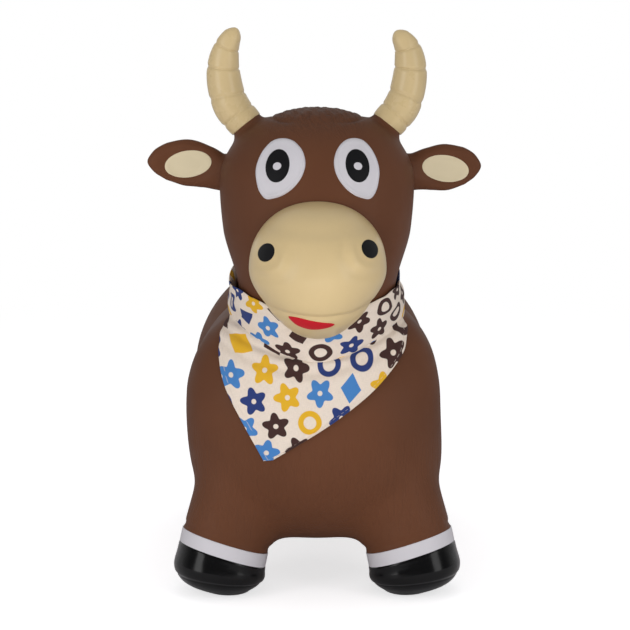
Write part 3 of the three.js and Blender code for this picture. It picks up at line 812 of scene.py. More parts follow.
@dataclass(frozen=True)
class PrintedCotton:
    """Plain-weave cotton printed with petals, rings and diamonds on a pale ground.

    Its UV map is in metres, the cell in millimetres, and the motifs' sizes in cells.
    """

    name: str = "printed_cotton"
    ground: Tint = colour(228, 214, 200)
    inks: tuple[tuple[float, Tint], ...] = (
        (0.0, colour(36, 56, 116)),
        (0.28, colour(62, 38, 36)),
        (0.58, colour(222, 172, 38)),
        (0.82, colour(66, 126, 190)),
    )
    thread_tint: Tint = colour(214, 200, 186)
    cell: float = 28.5
    slant: float = 0.35
    edge: float = 0.012
    shift: float = 0.06
    most_turn: float = 6.283
    petals: float = 5.0
    petal_reach: float = 0.38
    petal_wave: float = 0.092
    heart: float = 0.085
    ring_reach: float = 0.31
    ring_half: float = 0.095
    diamond_reach: float = 0.45
    diamond_slopes: tuple[float, float] = (1.25, 0.95)
    petal_share: float = 0.58
    petal_and_ring_share: float = 0.8
    fade_scale: float = 1300.0
    yarn_scales: tuple[float, float] = (2300.0, 260.0)
    weave_turn: float = 12566.0
    stitch_turn: float = 900.0
    stitch_sharp: float = 9.0

    @staticmethod
    def random(graph: Graph, column: Value, row: Value, seed: Seed) -> Value:
        """A number from 0 to 1 for each motif."""
        return graph.node(
            "ShaderNodeTexWhiteNoise",
            {"noise_dimensions": "3D"},
            {"Vector": graph.vector(column * 1.37 + 0.5, row * 2.11 + 0.5, seed.value)},
        )

    def inside(self, depth: Value) -> Value:
        """1 inside a motif's edge and 0 outside, a little soft."""
        return depth.step(-self.edge, self.edge)

    def motif(self, graph: Graph, x: Value, y: Value) -> tuple[Value, Value]:
        """One half-drop layer of motifs.

        Args:
            graph: The cloth's graph.
            x: Place across, in cells.
            y: Place along, in cells.

        Returns:
            The motifs' cover and a random number that picks the ink.
        """
        column = x.floor()
        drop = y + (column * 0.5 - (column * 0.5).floor())
        row = drop.floor()
        turn, kind, ink, across, along = (
            self.random(graph, column, row, seed)
            for seed in (Seed.TURN, Seed.KIND, Seed.INK, Seed.ACROSS, Seed.ALONG)
        )
        turn = turn * self.most_turn
        a = x - column - 0.5 + (across - 0.5) * self.shift
        b = drop - row - 0.5 + (along - 0.5) * self.shift
        u = a * turn.cosine() - b * turn.sine()
        v = a * turn.sine() + b * turn.cosine()
        radius = (u * u + v * v) ** 0.5
        angle = graph.node("ShaderNodeMath", {"operation": "ARCTAN2"}, {0: v, 1: u})
        wave = self.petal_wave * (angle * self.petals).cosine()
        flower = self.inside(self.petal_reach + wave - radius) * self.inside(radius - self.heart)
        ring = self.inside(self.ring_half - (radius - self.ring_reach).absolute())
        steep, gentle = self.diamond_slopes
        diamond = self.inside(self.diamond_reach - u.absolute() * steep - v.absolute() * gentle)
        is_flower = 1.0 - kind.over(self.petal_share)
        is_diamond = kind.over(self.petal_and_ring_share)
        is_ring = 1.0 - is_flower - is_diamond
        return flower * is_flower + ring * is_ring + diamond * is_diamond, ink

    def material(self) -> bpy.types.Material:
        """The finish as a material.

        Returns:
            The material.
        """
        graph = Graph(self.name)
        spread = graph.node("ShaderNodeUVMap", {"uv_map": "cloth"})
        u, v, _ = graph.axes(spread)
        near = math.cos(self.slant) * 1000 / self.cell
        far = math.sin(self.slant) * 1000 / self.cell
        cover, ink = self.motif(graph, u * near - v * far, u * far + v * near)
        inks = graph.node(
            "ShaderNodeValToRGB", {"interpolation": "CONSTANT", "stops": self.inks}, {0: ink}
        )
        fade = graph.noise(spread, self.fade_scale)
        fine, long = self.yarn_scales
        yarn = graph.noise(graph.scaled(spread, (fine, long, 1.0)), 1.0, 1.0)
        weft = graph.noise(graph.scaled(spread, (long, fine, 1.0)), 1.0, 1.0)
        weave = (yarn + weft) * 0.5
        ground = graph.mixed(weave.step(0.3, 0.7), shade(self.ground, 0.93), shade(self.ground, 1.05))
        printed = graph.mixed(cover * (0.975 + fade * 0.025), ground, inks)
        over = ((u * self.weave_turn).sine() * (v * self.weave_turn).sine()) * 0.5 + weave
        hem = graph.node("ShaderNodeAttribute", {"attribute_name": "hem"}, None, "Fac")
        stitch = (u * self.stitch_turn + v * self.stitch_turn).sine().over(-0.2)
        thread = hem.ridge(self.stitch_sharp) * stitch
        height = over * 0.35 + thread * 0.9 - hem.step(0.25, 0.45) * 0.5
        return graph.set(
            Base_Color=graph.mixed(thread * 0.55, printed, self.thread_tint),
            Roughness=0.86 + weave * 0.1,
            Normal=graph.bump(height, 0.45, 0.35),
            Sheen_Weight=0.05,
            Specular_IOR_Level=0.2,
        )


@dataclass(frozen=True)
class Moulded:
    """Plain moulded plastic, with scales in lumps per metre."""

    name: str
    tint: Tint
    roughness: float
    grain_scale: float = 700.0
    grain_range: float = 0.12
    flow_scale: float = 60.0

    def material(self) -> bpy.types.Material:
        """The finish as a material.

        Returns:
            The material.
        """
        graph = Graph(self.name)
        place = graph.place()
        grain = graph.noise(place, self.grain_scale)
        flow = graph.noise(place, self.flow_scale, 3.0)
        return graph.set(
            Base_Color=graph.mixed(flow, shade(self.tint, 0.93), shade(self.tint, 1.03)),
            Roughness=grain * self.grain_range + (self.roughness - self.grain_range / 2),
            Normal=graph.bump(grain, 0.25, 0.15),
        )


class Finishes:
    """Every finish of the hopper, made once."""

    def __init__(self) -> None:
        """Makes the materials."""
        brown = colour(97, 59, 38)
        cream, ivory, pale = colour(209, 185, 138), colour(207, 184, 138), colour(213, 199, 167)
        black, ink = colour(11, 11, 12), colour(24, 24, 26)
        hoof = {"pebble": 0.03, "coat": 0.2, "shine": 0.22, "swell": 3.2}
        self.body = Vinyl("brown_body_vinyl", brown, 0.58, wrinkles=1.2).material()
        # the head's vinyl carries painted shade over the crown and in its hair strokes
        self.head = CrownHair("brown_head_vinyl", brown, 0.58).material()
        self.brown = Vinyl("brown_vinyl", brown, 0.58).material()
        self.cream = Vinyl("cream_vinyl", cream, 0.37, cloud=0.05, coat=0.15, shine=0.3).material()
        self.horn = Vinyl("cream_horn_vinyl", ivory, 0.3, cloud=0.07, coat=0.2, shine=0.35).material()
        self.lining = Vinyl("ear_lining_vinyl", pale, 0.46, cloud=0.05).material()
        self.white = Vinyl("white_vinyl", colour(203, 200, 205), 0.5, cloud=0.05).material()
        self.black = Vinyl("black_vinyl", black, 0.22, **hoof).material()
        self.ink = Vinyl("black_paint", ink, 0.5, pebble=0.05, shine=0.12).material()
        self.red = Vinyl("red_vinyl", colour(190, 24, 38), 0.42, pebble=0.06, cloud=0.06).material()
        self.cotton = PrintedCotton().material()
        self.plastic = Moulded("pale_plastic", colour(228, 226, 220), 0.4).material()


def dress(
    obj: bpy.types.Object, material: bpy.types.Material, replaces: Sequence[str] = ()
) -> bpy.types.Object:
    """Gives a piece its finish and hides the CAD nodes that it stands for.

    Args:
        obj: The piece.
        material: Its material.
        replaces: The CAD nodes that it stands for.

    Returns:
        The same piece.
    """
    obj.data.materials.clear()
    obj.data.materials.append(material)
    if replaces:
        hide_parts(*replaces)
    LOG.info("%s: %d faces", obj.name, len(obj.data.polygons))
    return obj


# Legs with their bands and hooves


ANKLE_SHARE = np.array([2 / 3])


@dataclass(frozen=True)
class LegPair:
    """The sizes of the front or the rear legs, in millimetres."""

    word: str
    foot_x: float
    ankle_x: float
    knee_x: float
    foot_y: float
    knee_y: float
    hip_inset: float = 11.0
    hip_z: float = 165.0
    knee_z: float = 108.0
    band_z: float = 56.0
    sole_sink: float = 4.0
    hip_half: float = 46.0
    knee_half: float = 46.0
    half: float = 45.0
    longer: float = 4.0
    square: float = 2.2
    sole: Cap = Cap(0.2, 3.0)
    band_height: float = 14.0
    band_drop: float = 0.0
    band_tilt: float = 0.0

    def form(self, side: Side, slimmer: float = 0.0) -> Form:
        """The leg's form.

        Args:
            side: The leg's side.
            slimmer: How much thinner than the skin outside.

        Returns:
            The form, from the hip to the sole.
        """

        def station(x: float, y: float, z: float, half: float) -> Station:
            """One place on the leg's spine."""
            size = half - slimmer
            return Station((side.value * x, y, z), (size, size + self.longer, size + self.longer))

        ankle_y = (self.foot_y + self.knee_y) / 2
        stations = [
            station(self.knee_x - self.hip_inset, self.knee_y, self.hip_z, self.hip_half),
            station(self.knee_x, self.knee_y, self.knee_z, self.knee_half),
            station(self.ankle_x, ankle_y, self.band_z, self.half),
            station(self.foot_x, self.foot_y, -self.sole_sink, self.half),
        ]
        return Form(stations, Cap(0.0), self.sole, square=self.square)

    def ankle(self, side: Side) -> tuple[np.ndarray, np.ndarray]:
        """Where the band starts on a leg, and the way down the leg there.

        Args:
            side: The leg's side.

        Returns:
            The point in millimetres and the direction.
        """
        form = self.form(side)
        down = form.tangent(ANKLE_SHARE)[0]
        tilted = unit(down + EAST * (side.value * self.band_tilt))
        return form.spine(ANKLE_SHARE)[0] + down * self.band_drop, tilted


FRONT = LegPair(
    "front",
    foot_x=104.5,
    ankle_x=92.0,
    knee_x=77.0,
    foot_y=-142.0,
    knee_y=-126.0,
    band_drop=5.5,
    band_tilt=0.07,
)
REAR = LegPair("rear", foot_x=89.0, ankle_x=84.0, knee_x=76.0, foot_y=188.0, knee_y=172.0, band_drop=4.0)
LEGS = tuple((pair, side) for pair in (FRONT, REAR) for side in Side)


@dataclass
class Foot:
    """One leg's white band and black hoof, in millimetres, with places on the hoof's wall as shares."""

    pair: LegPair
    side: Side
    band_proud: float = 0.5
    band_wall: float = 4.0
    band_square: float = 0.3
    tuck: float = 0.4
    top_share: float = 0.1
    wall_share: float = 0.75
    sole_share: float = 0.15
    proud: float = 0.8
    lip_deep: float = 0.9
    line_wide: float = 0.03
    ledge_at: float = 0.62
    ledge_deep: float = 1.5
    ledge_step: float = 1.2
    sole_round: float = 4.5
    bulge: float = 1.6
    bulge_at: float = 0.46
    bulge_wide: float = 0.2
    around: int = 120

    def build(self, finishes: Finishes) -> None:
        """Models and dresses the band and the hoof.

        Args:
            finishes: The hopper's finishes.
        """
        leg = self.pair.form(self.side).build("leg_guide", 96, 96)
        self.skin = Surface(leg)
        self.ankle, self.down = self.pair.ankle(self.side)
        self.ahead = unit(np.cross(self.down, EAST))
        self.across = np.cross(self.ahead, self.down)
        name = f"{self.pair.word}_{self.side.word}"
        band = shaped(f"band_{name}_ring", Start.RING, self.around, 24, self.band_place)
        dress(band, finishes.white, [f"band_{name}"])
        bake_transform(band)
        hoof = shaped(f"hoof_{name}_shell", Start.BALL, self.around, 90, self.hoof_place)
        dress(hoof, finishes.black, [f"hoof_{name}"])
        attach(hoof, "feet")
        bpy.data.objects.remove(leg)

    def on_leg(self, centre: np.ndarray, direction: np.ndarray) -> float:
        """How far the leg's skin lies from a point inside it."""
        return float(np.linalg.norm(self.skin.hit(centre, direction)[0] - centre))

    def band_place(self, turn: np.ndarray, section: np.ndarray) -> np.ndarray:
        """The band's points round the leg.

        Args:
            turn: Turns round the leg.
            section: Angles round the band's section.

        Returns:
            The points, in millimetres.
        """
        rise = squarer(np.sin(section), self.band_square)
        out = squarer(np.cos(section), self.band_square)
        drop = self.pair.band_height * (0.5 - 0.5 * rise)
        proud = np.where(out > 0, self.band_proud * out, self.band_wall * out)
        spots = np.zeros((len(turn), 3))
        for i, direction in enumerate(circle(turn, self.across, self.ahead)):
            centre = self.ankle + self.down * drop[i]
            spots[i] = centre + direction * (self.on_leg(centre, direction) + proud[i])
        return spots

    def relief(self, wall: np.ndarray) -> np.ndarray:
        """How far the hoof stands out of the leg's skin, down its wall.

        Args:
            wall: Shares of the wall, from its top to the sole.

        Returns:
            One distance per point, in millimetres.
        """
        lip = 1.0 - self.lip_deep * hump(wall, self.line_wide)
        groove = self.ledge_deep * hump(wall - self.ledge_at, self.line_wide)
        step = self.ledge_step * smoothstep(self.ledge_at, self.ledge_at + 2 * self.line_wide, wall)
        sole = self.sole_round * smoothstep(self.ledge_at, 1.0, wall) ** 1.5
        bulge = self.bulge * hump(wall - self.bulge_at, self.bulge_wide)
        return self.proud * lip - groove - step - sole + bulge

    def hoof_place(self, turn: np.ndarray, share: np.ndarray) -> np.ndarray:
        """The hoof's points, from the middle of its hidden top to the middle of its sole.

        Args:
            turn: Turns round the leg.
            share: Shares from pole to pole.

        Returns:
            The points, in millimetres.
        """
        top = self.ankle + self.down * (self.pair.band_height - self.tuck)
        sole = np.array((self.pair.foot_x * self.side.value, self.pair.foot_y, 0.0))
        wall = np.clip((share - self.top_share) / self.wall_share, 0.0, 1.0)
        reach = np.clip(share / self.top_share, 0.0, 1.0)
        reach = reach * np.clip((1.0 - share) / self.sole_share, 0.0, 1.0)
        proud = self.relief(wall)
        spots = np.zeros((len(turn), 3))
        for i, way in enumerate(circle(turn, self.across, self.ahead)):
            centre = top * (1 - wall[i]) + sole * wall[i]
            normal = unit(self.down * (1 - wall[i]) - UP * wall[i])
            direction = unit(way - normal * float(way @ normal))
            length = self.on_leg(centre, direction) + proud[i]
            spots[i] = centre + direction * length * reach[i]
        spots[:, 2] = np.maximum(spots[:, 2], 0.0)
        return spots


# Torso with its tail and valve


@dataclass
class Torso:
    """The barrel, the neck's dome and the legs in one skin, with the tail and the air valve on it.

    Sizes are in millimetres. Levels are heights over the floor.
    """

    ends_y: tuple[float, ...] = (-196.0, -108.0, -25.0, 58.0, 165.0, 268.0)
    halves: tuple[float, ...] = (123.0, 130.0, 124.0, 117.0, 133.0, 128.0)
    tops: tuple[float, ...] = (258.0, 293.0, 299.0, 275.0, 305.0, 286.0)
    bellies: tuple[float, ...] = (56.0, 46.8, 46.8, 46.8, 47.5, 64.0)
    axis_z: float = 165.0
    chest: Cap = Cap(0.2, 2.4)
    rump: Cap = Cap(0.26, 2.3)
    square: float = 2.8
    shoulder_square: float = 3.3
    rump_square: float = 2.05
    rump_share: float = 0.8
    neck_ball: float = 84.0
    voxel: float = 2.9
    passes: int = 8
    join_passes: int = 70
    arch_passes: int = 240
    knee_reach: float = 75.0
    knee_levels: Levels = (60.0, 84.0, 175.0, 215.0)
    inner_x: tuple[float, float] = (70.0, 95.0)
    inner_levels: Levels = (38.0, 48.0, 75.0, 100.0)
    inner_share: float = 0.8
    neck_ring: float = 70.0
    neck_wide: float = 55.0
    neck_levels: tuple[float, float] = (200.0, 235.0)
    neck_y: tuple[float, float] = (-190.0, -150.0)
    neck_share: float = 0.7
    arch_x: float = 41.0
    arch_wide: float = 30.0
    arch_levels: Levels = (34.0, 44.0, 80.0, 105.0)
    leg_floor: float = 8.0
    leg_slimmer: float = 0.3
    leg_reach: float = 75.0
    crease_up: float = 5.0
    crease_wide: float = 2.6
    crease_deep: float = 1.3
    hoof_wall: float = 8.5
    hoof_drop: tuple[float, float] = (3.0, 9.0)
    lean_right: float = 3.6
    lean_levels: tuple[float, float] = (100.0, 190.0)
    lean_reach: tuple[float, float] = (95.0, 150.0)
    tail_inset: float = 2.8
    tail_levels: tuple[float, ...] = (250.0, 217.0, 183.0, 150.0)
    tail_halves: tuple[float, ...] = (8.0, 6.5, 11.0, 10.0)
    tuft_from: tuple[float, float] = (0.45, 0.7)
    tuft_deep: float = 0.9
    tie_at: float = 0.42
    tie_wide: float = 0.03
    tie_deep: float = 1.4
    valve_at: Point = (0.0, 252.3, 112.0)
    valve_out: Point = (0.0, 0.79767, -0.60309)
    pad_radius: float = 15.0
    pad_low: float = 0.6
    pit_radius: float = 9.6
    pit_edge: float = 1.0
    pit_deep: float = 17.0
    rim: Outline = (
        (13.0, 0.6), (12.6, 1.4), (10.0, 1.5), (7.4, 1.5), (6.9, 1.0), (6.9, -7.0), (7.0, -14.0),
        (9.8, -14.0), (9.9, -7.0), (9.9, -3.2), (12.6, -3.0), (13.0, -2.4),
    )
    stem: Outline = (
        (0.0, 4.9), (6.0, 4.85), (9.0, 4.6), (9.8, 4.1), (10.0, 3.3), (10.0, 2.2), (9.6, 1.85),
        (6.0, 1.85), (6.0, -7.0), (6.5, -8.1), (6.0, -9.2), (6.0, -12.0), (5.0, -15.1), (0.0, -15.1),
    )

    def build(self, finishes: Finishes) -> None:
        """Models and dresses the torso, and keeps its skin for the bandana.

        Args:
            finishes: The hopper's finishes.
        """
        skin = self.skin()
        self.surface = Surface(skin)
        legs = [f"leg_{pair.word}_{side.word}" for pair, side in LEGS]
        dress(skin, finishes.body, ["torso_skin", *legs])
        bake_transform(skin)
        self.tail(finishes)
        self.valve(finishes)

    def skin(self) -> bpy.types.Object:
        """The barrel, dome and legs, fused and softened where they meet.

        Returns:
            The skin.
        """
        stations = [
            Station((0.0, y, self.axis_z), (half, top - self.axis_z, self.axis_z - belly))
            for y, half, top, belly in zip(self.ends_y, self.halves, self.tops, self.bellies)
        ]
        form = Form(stations, self.chest, self.rump, square=self.square, over_square=self.over_square)
        barrel = form.build("body_skin", 128, 110)
        dome = shaped("dome", Start.BALL, 72, 36, self.dome_place)
        legs = [pair.form(side, self.leg_slimmer).build("leg", 72, 72) for pair, side in LEGS]
        skin = fused([barrel, dome, *legs], self.voxel)
        softened(skin, self.passes)
        softened(skin, self.join_passes, self.joins(points_of(skin)))
        softened(skin, self.arch_passes, self.arch(points_of(skin)))
        spot = points_of(skin) + normals_of(skin) * self.creases(points_of(skin))[:, None]
        spot[:, 2] = np.maximum(spot[:, 2], self.leg_floor)
        away = np.linalg.norm(spot - NECK, axis=1)
        lean = self.lean_right * smoothstep(*self.lean_levels, spot[:, 2])
        spot[:, 0] -= lean * smoothstep(*self.lean_reach, away)
        move_points(skin, self.socket(spot))
        return skin

    def dome_place(self, turn: np.ndarray, share: np.ndarray) -> np.ndarray:
        """The neck dome's points."""
        return NECK + ball(turn, share) * self.neck_ball

    def joins(self, spot: np.ndarray) -> np.ndarray:
        """How much the skin is evened out where the legs and the neck meet the barrel, from 0 to 1.

        Args:
            spot: The skin's points, in millimetres.

        Returns:
            One number per point, from 0 to 1.
        """
        x, y, z = spot.T
        knees = np.zeros(len(x))
        for pair in (FRONT, REAR):
            near = hump(y - pair.knee_y, self.knee_reach)
            knees = np.maximum(knees, window(z, self.knee_levels) * near)
        inner = (1 - smoothstep(*self.inner_x, np.abs(x))) * window(z, self.inner_levels)
        neck = hump(np.hypot(y - NECK[1], z - NECK[2]) - self.neck_ring, self.neck_wide)
        neck = neck * smoothstep(*self.neck_levels, z) * smoothstep(*self.neck_y, y)
        return np.clip(np.maximum.reduce([knees, inner * self.inner_share, neck * self.neck_share]), 0, 1)

    def arch(self, spot: np.ndarray) -> np.ndarray:
        """How much the skin is evened out in the arch between the legs, from 0 to 1."""
        x, _, z = spot.T
        return np.clip(hump(np.abs(x) - self.arch_x, self.arch_wide) * window(z, self.arch_levels), 0, 1)

    def socket(self, spot: np.ndarray) -> np.ndarray:
        """The skin's points, with a flat pad round the valve and a pit under it.

        Args:
            spot: The skin's points, in millimetres.

        Returns:
            The moved points.
        """
        out = unit(self.valve_out)
        stand = spot - np.array(self.valve_at)
        height = stand @ out
        radius = np.linalg.norm(stand - height[:, None] * out, axis=1)
        near = 1 - smoothstep(self.pad_radius, 2 * self.pad_radius, radius)
        near = near * (np.abs(height) < 2 * self.pad_radius)
        pit = 1 - smoothstep(self.pit_radius - self.pit_edge, self.pit_radius + self.pit_edge, radius)
        level = -self.pad_low - self.pit_deep * pit
        return spot + out * (near * (level - height))[:, None]

    def creases(self, spot: np.ndarray) -> np.ndarray:
        """How far the skin dips in the crease above each leg's band, and inside the hoof.

        Args:
            spot: The skin's points, in millimetres.

        Returns:
            One distance per point, in millimetres.
        """
        dip = np.zeros(len(spot))
        for pair, side in LEGS:
            ankle, down = pair.ankle(side)
            drop = (spot - ankle) @ down
            near = hump(np.linalg.norm(spot - ankle, axis=1), self.leg_reach)
            groove = self.crease_deep * hump(drop + self.crease_up, self.crease_wide)
            inside = self.hoof_wall * smoothstep(*self.hoof_drop, drop)
            dip -= (groove + inside) * smoothstep(0.1, 0.4, near)
        return dip

    def over_square(self, along: np.ndarray) -> np.ndarray:
        """How square the back is, from the shoulders to the rump."""
        share = np.minimum(1.0, along / self.rump_share)
        return self.shoulder_square + (self.rump_square - self.shoulder_square) * share

    def tail(self, finishes: Finishes) -> None:
        """The tail, lying on the rump, with the strands of its tuft.

        Args:
            finishes: The hopper's finishes.
        """
        stations = []
        for z, half in zip(self.tail_levels, self.tail_halves):
            spot, _ = self.surface.hit((0.0, FAR_OFF, z), -NORTH)
            stations.append(Station(tuple(spot - NORTH * self.tail_inset), (half, half, half)))

        def strands(along: np.ndarray, turn: np.ndarray) -> np.ndarray:
            """The strands of the tuft, and the tie above it."""
            tuft = self.tuft_deep * smoothstep(*self.tuft_from, along)
            tie = self.tie_deep * hump(along - self.tie_at, self.tie_wide)
            return tuft * np.cos(9 * turn + 5 * along) - tie

        piece = Form(stations, Cap(0.12), Cap(0.3), ripple=strands).build("tail_cord", 64, 72)
        dress(piece, finishes.brown, ["tail"])
        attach(piece, "torso")

    def lathe(self, profile: Outline, closed: bool) -> Place:
        """Turns a profile of radii and heights round the valve's axis, as a ring or from pole to pole.

        Args:
            profile: Radii and heights.
            closed: Whether it is a ring's section.

        Returns:
            The places for a primitive.
        """
        out = unit(self.valve_out)
        ahead = np.cross(out, EAST)

        def place(turn: np.ndarray, other: np.ndarray) -> np.ndarray:
            """Each vertex's place, in millimetres."""
            if closed:
                radius, height = closed_spline(profile, other / FULL_TURN).T
            else:
                steps = np.arange(len(profile))
                radius, height = (np.interp(other * (len(profile) - 1), steps, row) for row in zip(*profile))
            ring = circle(turn, EAST, ahead)
            return np.array(self.valve_at) + ring * radius[:, None] + out * height[:, None]

        return place

    def valve(self, finishes: Finishes) -> None:
        """The valve's seat and its plug.

        Args:
            finishes: The hopper's finishes.
        """
        seat = shaped("valve_rim", Start.RING, 64, 96, self.lathe(self.rim, True))
        dress(seat, finishes.plastic, ["valve_seat"])
        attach(seat, "torso")
        plug = shaped("valve_plug", Start.BALL, 64, 78, self.lathe(self.stem, False))
        dress(plug, finishes.plastic, ["air_plug"])
        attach(plug, "plug")


# Head with its muzzle and face


@dataclass
class Panel:
    """A painted, slightly raised patch on a skin, drawn in front view."""

    name: str
    outline: Sequence[tuple[float, float]]
    rise: float = 0.7
    sink: float = 2.0
    rim: float = 0.0
    rim_at: float = 0.9
    rim_wide: float = 0.05
    overreach: float = 1.06
    roll_from: float = 0.93
    roll_deep: float = 1.5
    edge_half: float = 0.02
    edge_sink: float = 0.4
    around: int = 96
    rings: int = 28

    def build(self, surface: Surface, mirror: bool = False) -> bpy.types.Object:
        """Lays the patch on a skin.

        Args:
            surface: The skin.
            mirror: Whether it is drawn on the other side.

        Returns:
            The patch, closed at its back under the skin.
        """
        sign = -1.0 if mirror else 1.0
        outline = np.array([(sign * x, z) for x, z in self.outline])
        middle = outline.mean(axis=0)

        def place(turn: np.ndarray, share: np.ndarray) -> np.ndarray:
            """Each vertex's place, in millimetres."""
            edge = closed_spline(outline, sign * turn / FULL_TURN)
            reach = np.minimum(1.0, self.overreach * np.sin(share * math.pi))
            flat = middle + (edge - middle) * reach[:, None]
            spot, normal = surface.front(*flat.T)
            front = self.rise * (1 - smoothstep(self.roll_from, 1.0, reach) * self.roll_deep)
            front = front + self.rim * hump(reach - self.rim_at, self.rim_wide)
            height = np.where(share < 0.5, front, -self.sink)
            height = np.where(np.abs(share - 0.5) < self.edge_half, -self.edge_sink * self.sink, height)
            return spot + normal * height[:, None]

        return shaped(f"{self.name}_patch", Start.BALL, self.around, self.rings, place)


def egg(x: float, z: float, wide: float, tall: float, tilt: float) -> list[tuple[float, float]]:
    """An ellipse's points in front view, with its tilt in degrees.

    Args:
        x: Its middle across.
        z: Its middle's height.
        wide: Its half width.
        tall: Its half height.
        tilt: Its tilt.

    Returns:
        The outline.
    """
    points = 16
    cosine, sine = math.cos(math.radians(tilt)), math.sin(math.radians(tilt))
    found = []
    for i in range(points):
        turn = FULL_TURN * i / points
        a, b = wide * math.cos(turn), tall * math.sin(turn)
        found.append((x + a * cosine - b * sine, z + a * sine + b * cosine))
    return found


@dataclass
class Head:
    """The head with the neck, crown, horn stumps, muzzle and painted face, in millimetres."""

    neck_hem: float = 10.0
    neck_rise: float = 38.0
    neck_half: Point = (79.0, 77.0, 77.0)
    jaw: Station = Station((0.0, -112.0, 364.0), (94.0, 89.0, 68.0))
    temples: Station = Station((0.0, -106.0, 424.0), (98.0, 86.0, 82.0))
    crown: Station = Station((0.0, -99.0, 486.0), (90.0, 70.0, 70.0))
    crown_cap: Cap = Cap(0.33, 2.5)
    square: float = 2.1
    stump: Point = (67.81, -95.74, 466.33)
    stump_rings: Outline = ((-40.0, 31.0), (-20.0, 23.0), (0.0, 17.6), (13.0, 16.0))
    horn_root: Point = (0.61494, 0.12299, 0.77892)
    forelock_at: Point = (0.0, -111.0, 472.0)
    forelock_half: Point = (48.0, 42.0, 17.0)
    voxel: float = 2.6
    passes: int = 8
    brow_passes: int = 45
    brow_x: tuple[float, float] = (34.0, 48.0)
    brow_levels: Levels = (425.0, 450.0, 462.0, 472.0)
    seam_half: tuple[float, float] = (47.0, 42.0)
    seam_deep: float = 1.9
    strand_deep: float = 0.42
    parting_x: float = 4.0
    parting_deep: float = 0.5
    muzzle_stations: tuple[Station, ...] = (
        Station((0.0, -150.0, 341.0), (60.0, 66.0, 60.0)),
        Station((0.0, -206.0, 338.0), (67.0, 65.0, 67.0)),
        Station((0.0, -276.0, 329.0), (60.0, 53.5, 61.5)),
    )
    muzzle_cap: Cap = Cap(0.55, 2.3)
    chin_narrow: float = 0.24
    chin_levels: tuple[float, float] = (340.0, 282.0)
    boss_x: float = 48.5
    boss_z: float = 361.5
    boss_askew: float = 1.7
    boss_inward: float = 18.0
    ledge_z: float = 382.0
    lip: Outline = (
        (-50, 309), (-42, 306), (-32, 304), (-17, 302.8), (4, 301.3), (34, 303), (48, 307.5), (56, 311),
    )
    lip_ends: Levels = (-52.0, -44.0, 51.0, 58.0)
    eye: Outline = (
        (51.9, 402.8), (57.0, 408.5), (59.8, 417.0), (61.0, 429.0), (58.5, 440.0), (53.0, 450.5),
        (45.0, 458.5), (35.0, 461.0), (25.5, 458.3), (18.0, 449.5), (15.5, 438.0), (18.5, 426.0),
        (25.5, 415.5), (35.0, 407.5), (45.0, 403.3),
    )
    eye_corner: float = 61.0
    eye_lift: float = 2.6
    right_eye_wider: float = 1.09
    nostril_askew: float = 1.5
    mouth: Outline = (
        (-28.6, 301.2), (-18.5, 300.9), (-6.2, 298.5), (5.1, 296.5), (13.5, 295.3), (16.2, 293.4),
        (11.7, 291.0), (2.3, 288.8), (-6.2, 288.3), (-13.8, 289.7), (-21.3, 292.8), (-27.0, 297.6),
    )

    def build(self, finishes: Finishes) -> None:
        """Models and dresses the head, the muzzle and the face, and keeps the skin for the bandana.

        Args:
            finishes: The hopper's finishes.
        """
        skin = self.skin()
        self.surface = Surface(skin)
        dress(skin, finishes.head, ["head_skin", "forelock"])
        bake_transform(skin)
        muzzle = self.muzzle()
        snout = Surface(muzzle)
        dress(muzzle, finishes.cream, ["muzzle"])
        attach(muzzle, "head")
        self.face(finishes, snout)

    def skin(self) -> bpy.types.Object:
        """The head's skin: neck, jaw, temples, crown, forelock and stumps fused.

        Returns:
            The skin.
        """
        neck = [
            Station(tuple(NECK + NECK_AXIS * rise), self.neck_half)
            for rise in (-self.neck_hem, self.neck_rise)
        ]
        form = Form(
            [*neck, self.jaw, self.temples, self.crown], Cap(0.0), self.crown_cap, square=self.square
        )
        pieces = [form.build("head_shell", 128, 110)]
        root = unit(self.horn_root)
        for side in Side:
            flip = np.array((side.value, 1.0, 1.0))
            rings = [
                Station(tuple((np.array(self.stump) + root * rise) * flip), (half, half, half))
                for rise, half in self.stump_rings
            ]
            sideways = tuple(unit(np.cross(root * flip, NORTH)))
            pieces.append(Form(rings, Cap(0.0), Cap(0.12), sideways=sideways).build("stump", 48, 48))
        pieces.append(shaped("fringe", Start.BALL, 72, 48, self.forelock_place))
        skin = fused(pieces, self.voxel)
        softened(skin, self.passes)
        x, _, z = points_of(skin).T
        softened(skin, self.brow_passes, smoothstep(*self.brow_x, np.abs(x)) * window(z, self.brow_levels))
        move_points(skin, points_of(skin) + normals_of(skin) * self.hair(points_of(skin))[:, None])
        return skin

    def forelock_place(self, turn: np.ndarray, share: np.ndarray) -> np.ndarray:
        """The forelock's points, a low pad over the crown."""
        return np.array(self.forelock_at) + ball(turn, share) * np.array(self.forelock_half)

    def hair(self, spot: np.ndarray) -> np.ndarray:
        """How far the crown's skin rises in strands, and dips in the parting and the forelock's seam.

        Args:
            spot: The skin's points, in millimetres.

        Returns:
            One distance per point, in millimetres.
        """
        x, y, z = spot.T
        wide, deep = self.seam_half
        back = y - self.forelock_at[1]
        ring = np.hypot(x / wide, back / deep)
        strand = np.sin(x * 0.62 + 0.3 * back) + 0.7 * np.sin(x * 0.37 - 0.2 * back + 1.3)
        strands = self.strand_deep * strand * smoothstep(476, 484, z) * (1 - smoothstep(0.8, 1.05, ring))
        flank = smoothstep(0.35, 0.75, np.abs(x) / wide) * smoothstep(448, 458, z)
        seam = self.seam_deep * hump(ring - 1.0, 0.06) * flank
        parting = self.parting_deep * hump(x - self.parting_x - 0.1 * back, 2.6) * smoothstep(478, 484, z)
        return strands - seam - parting

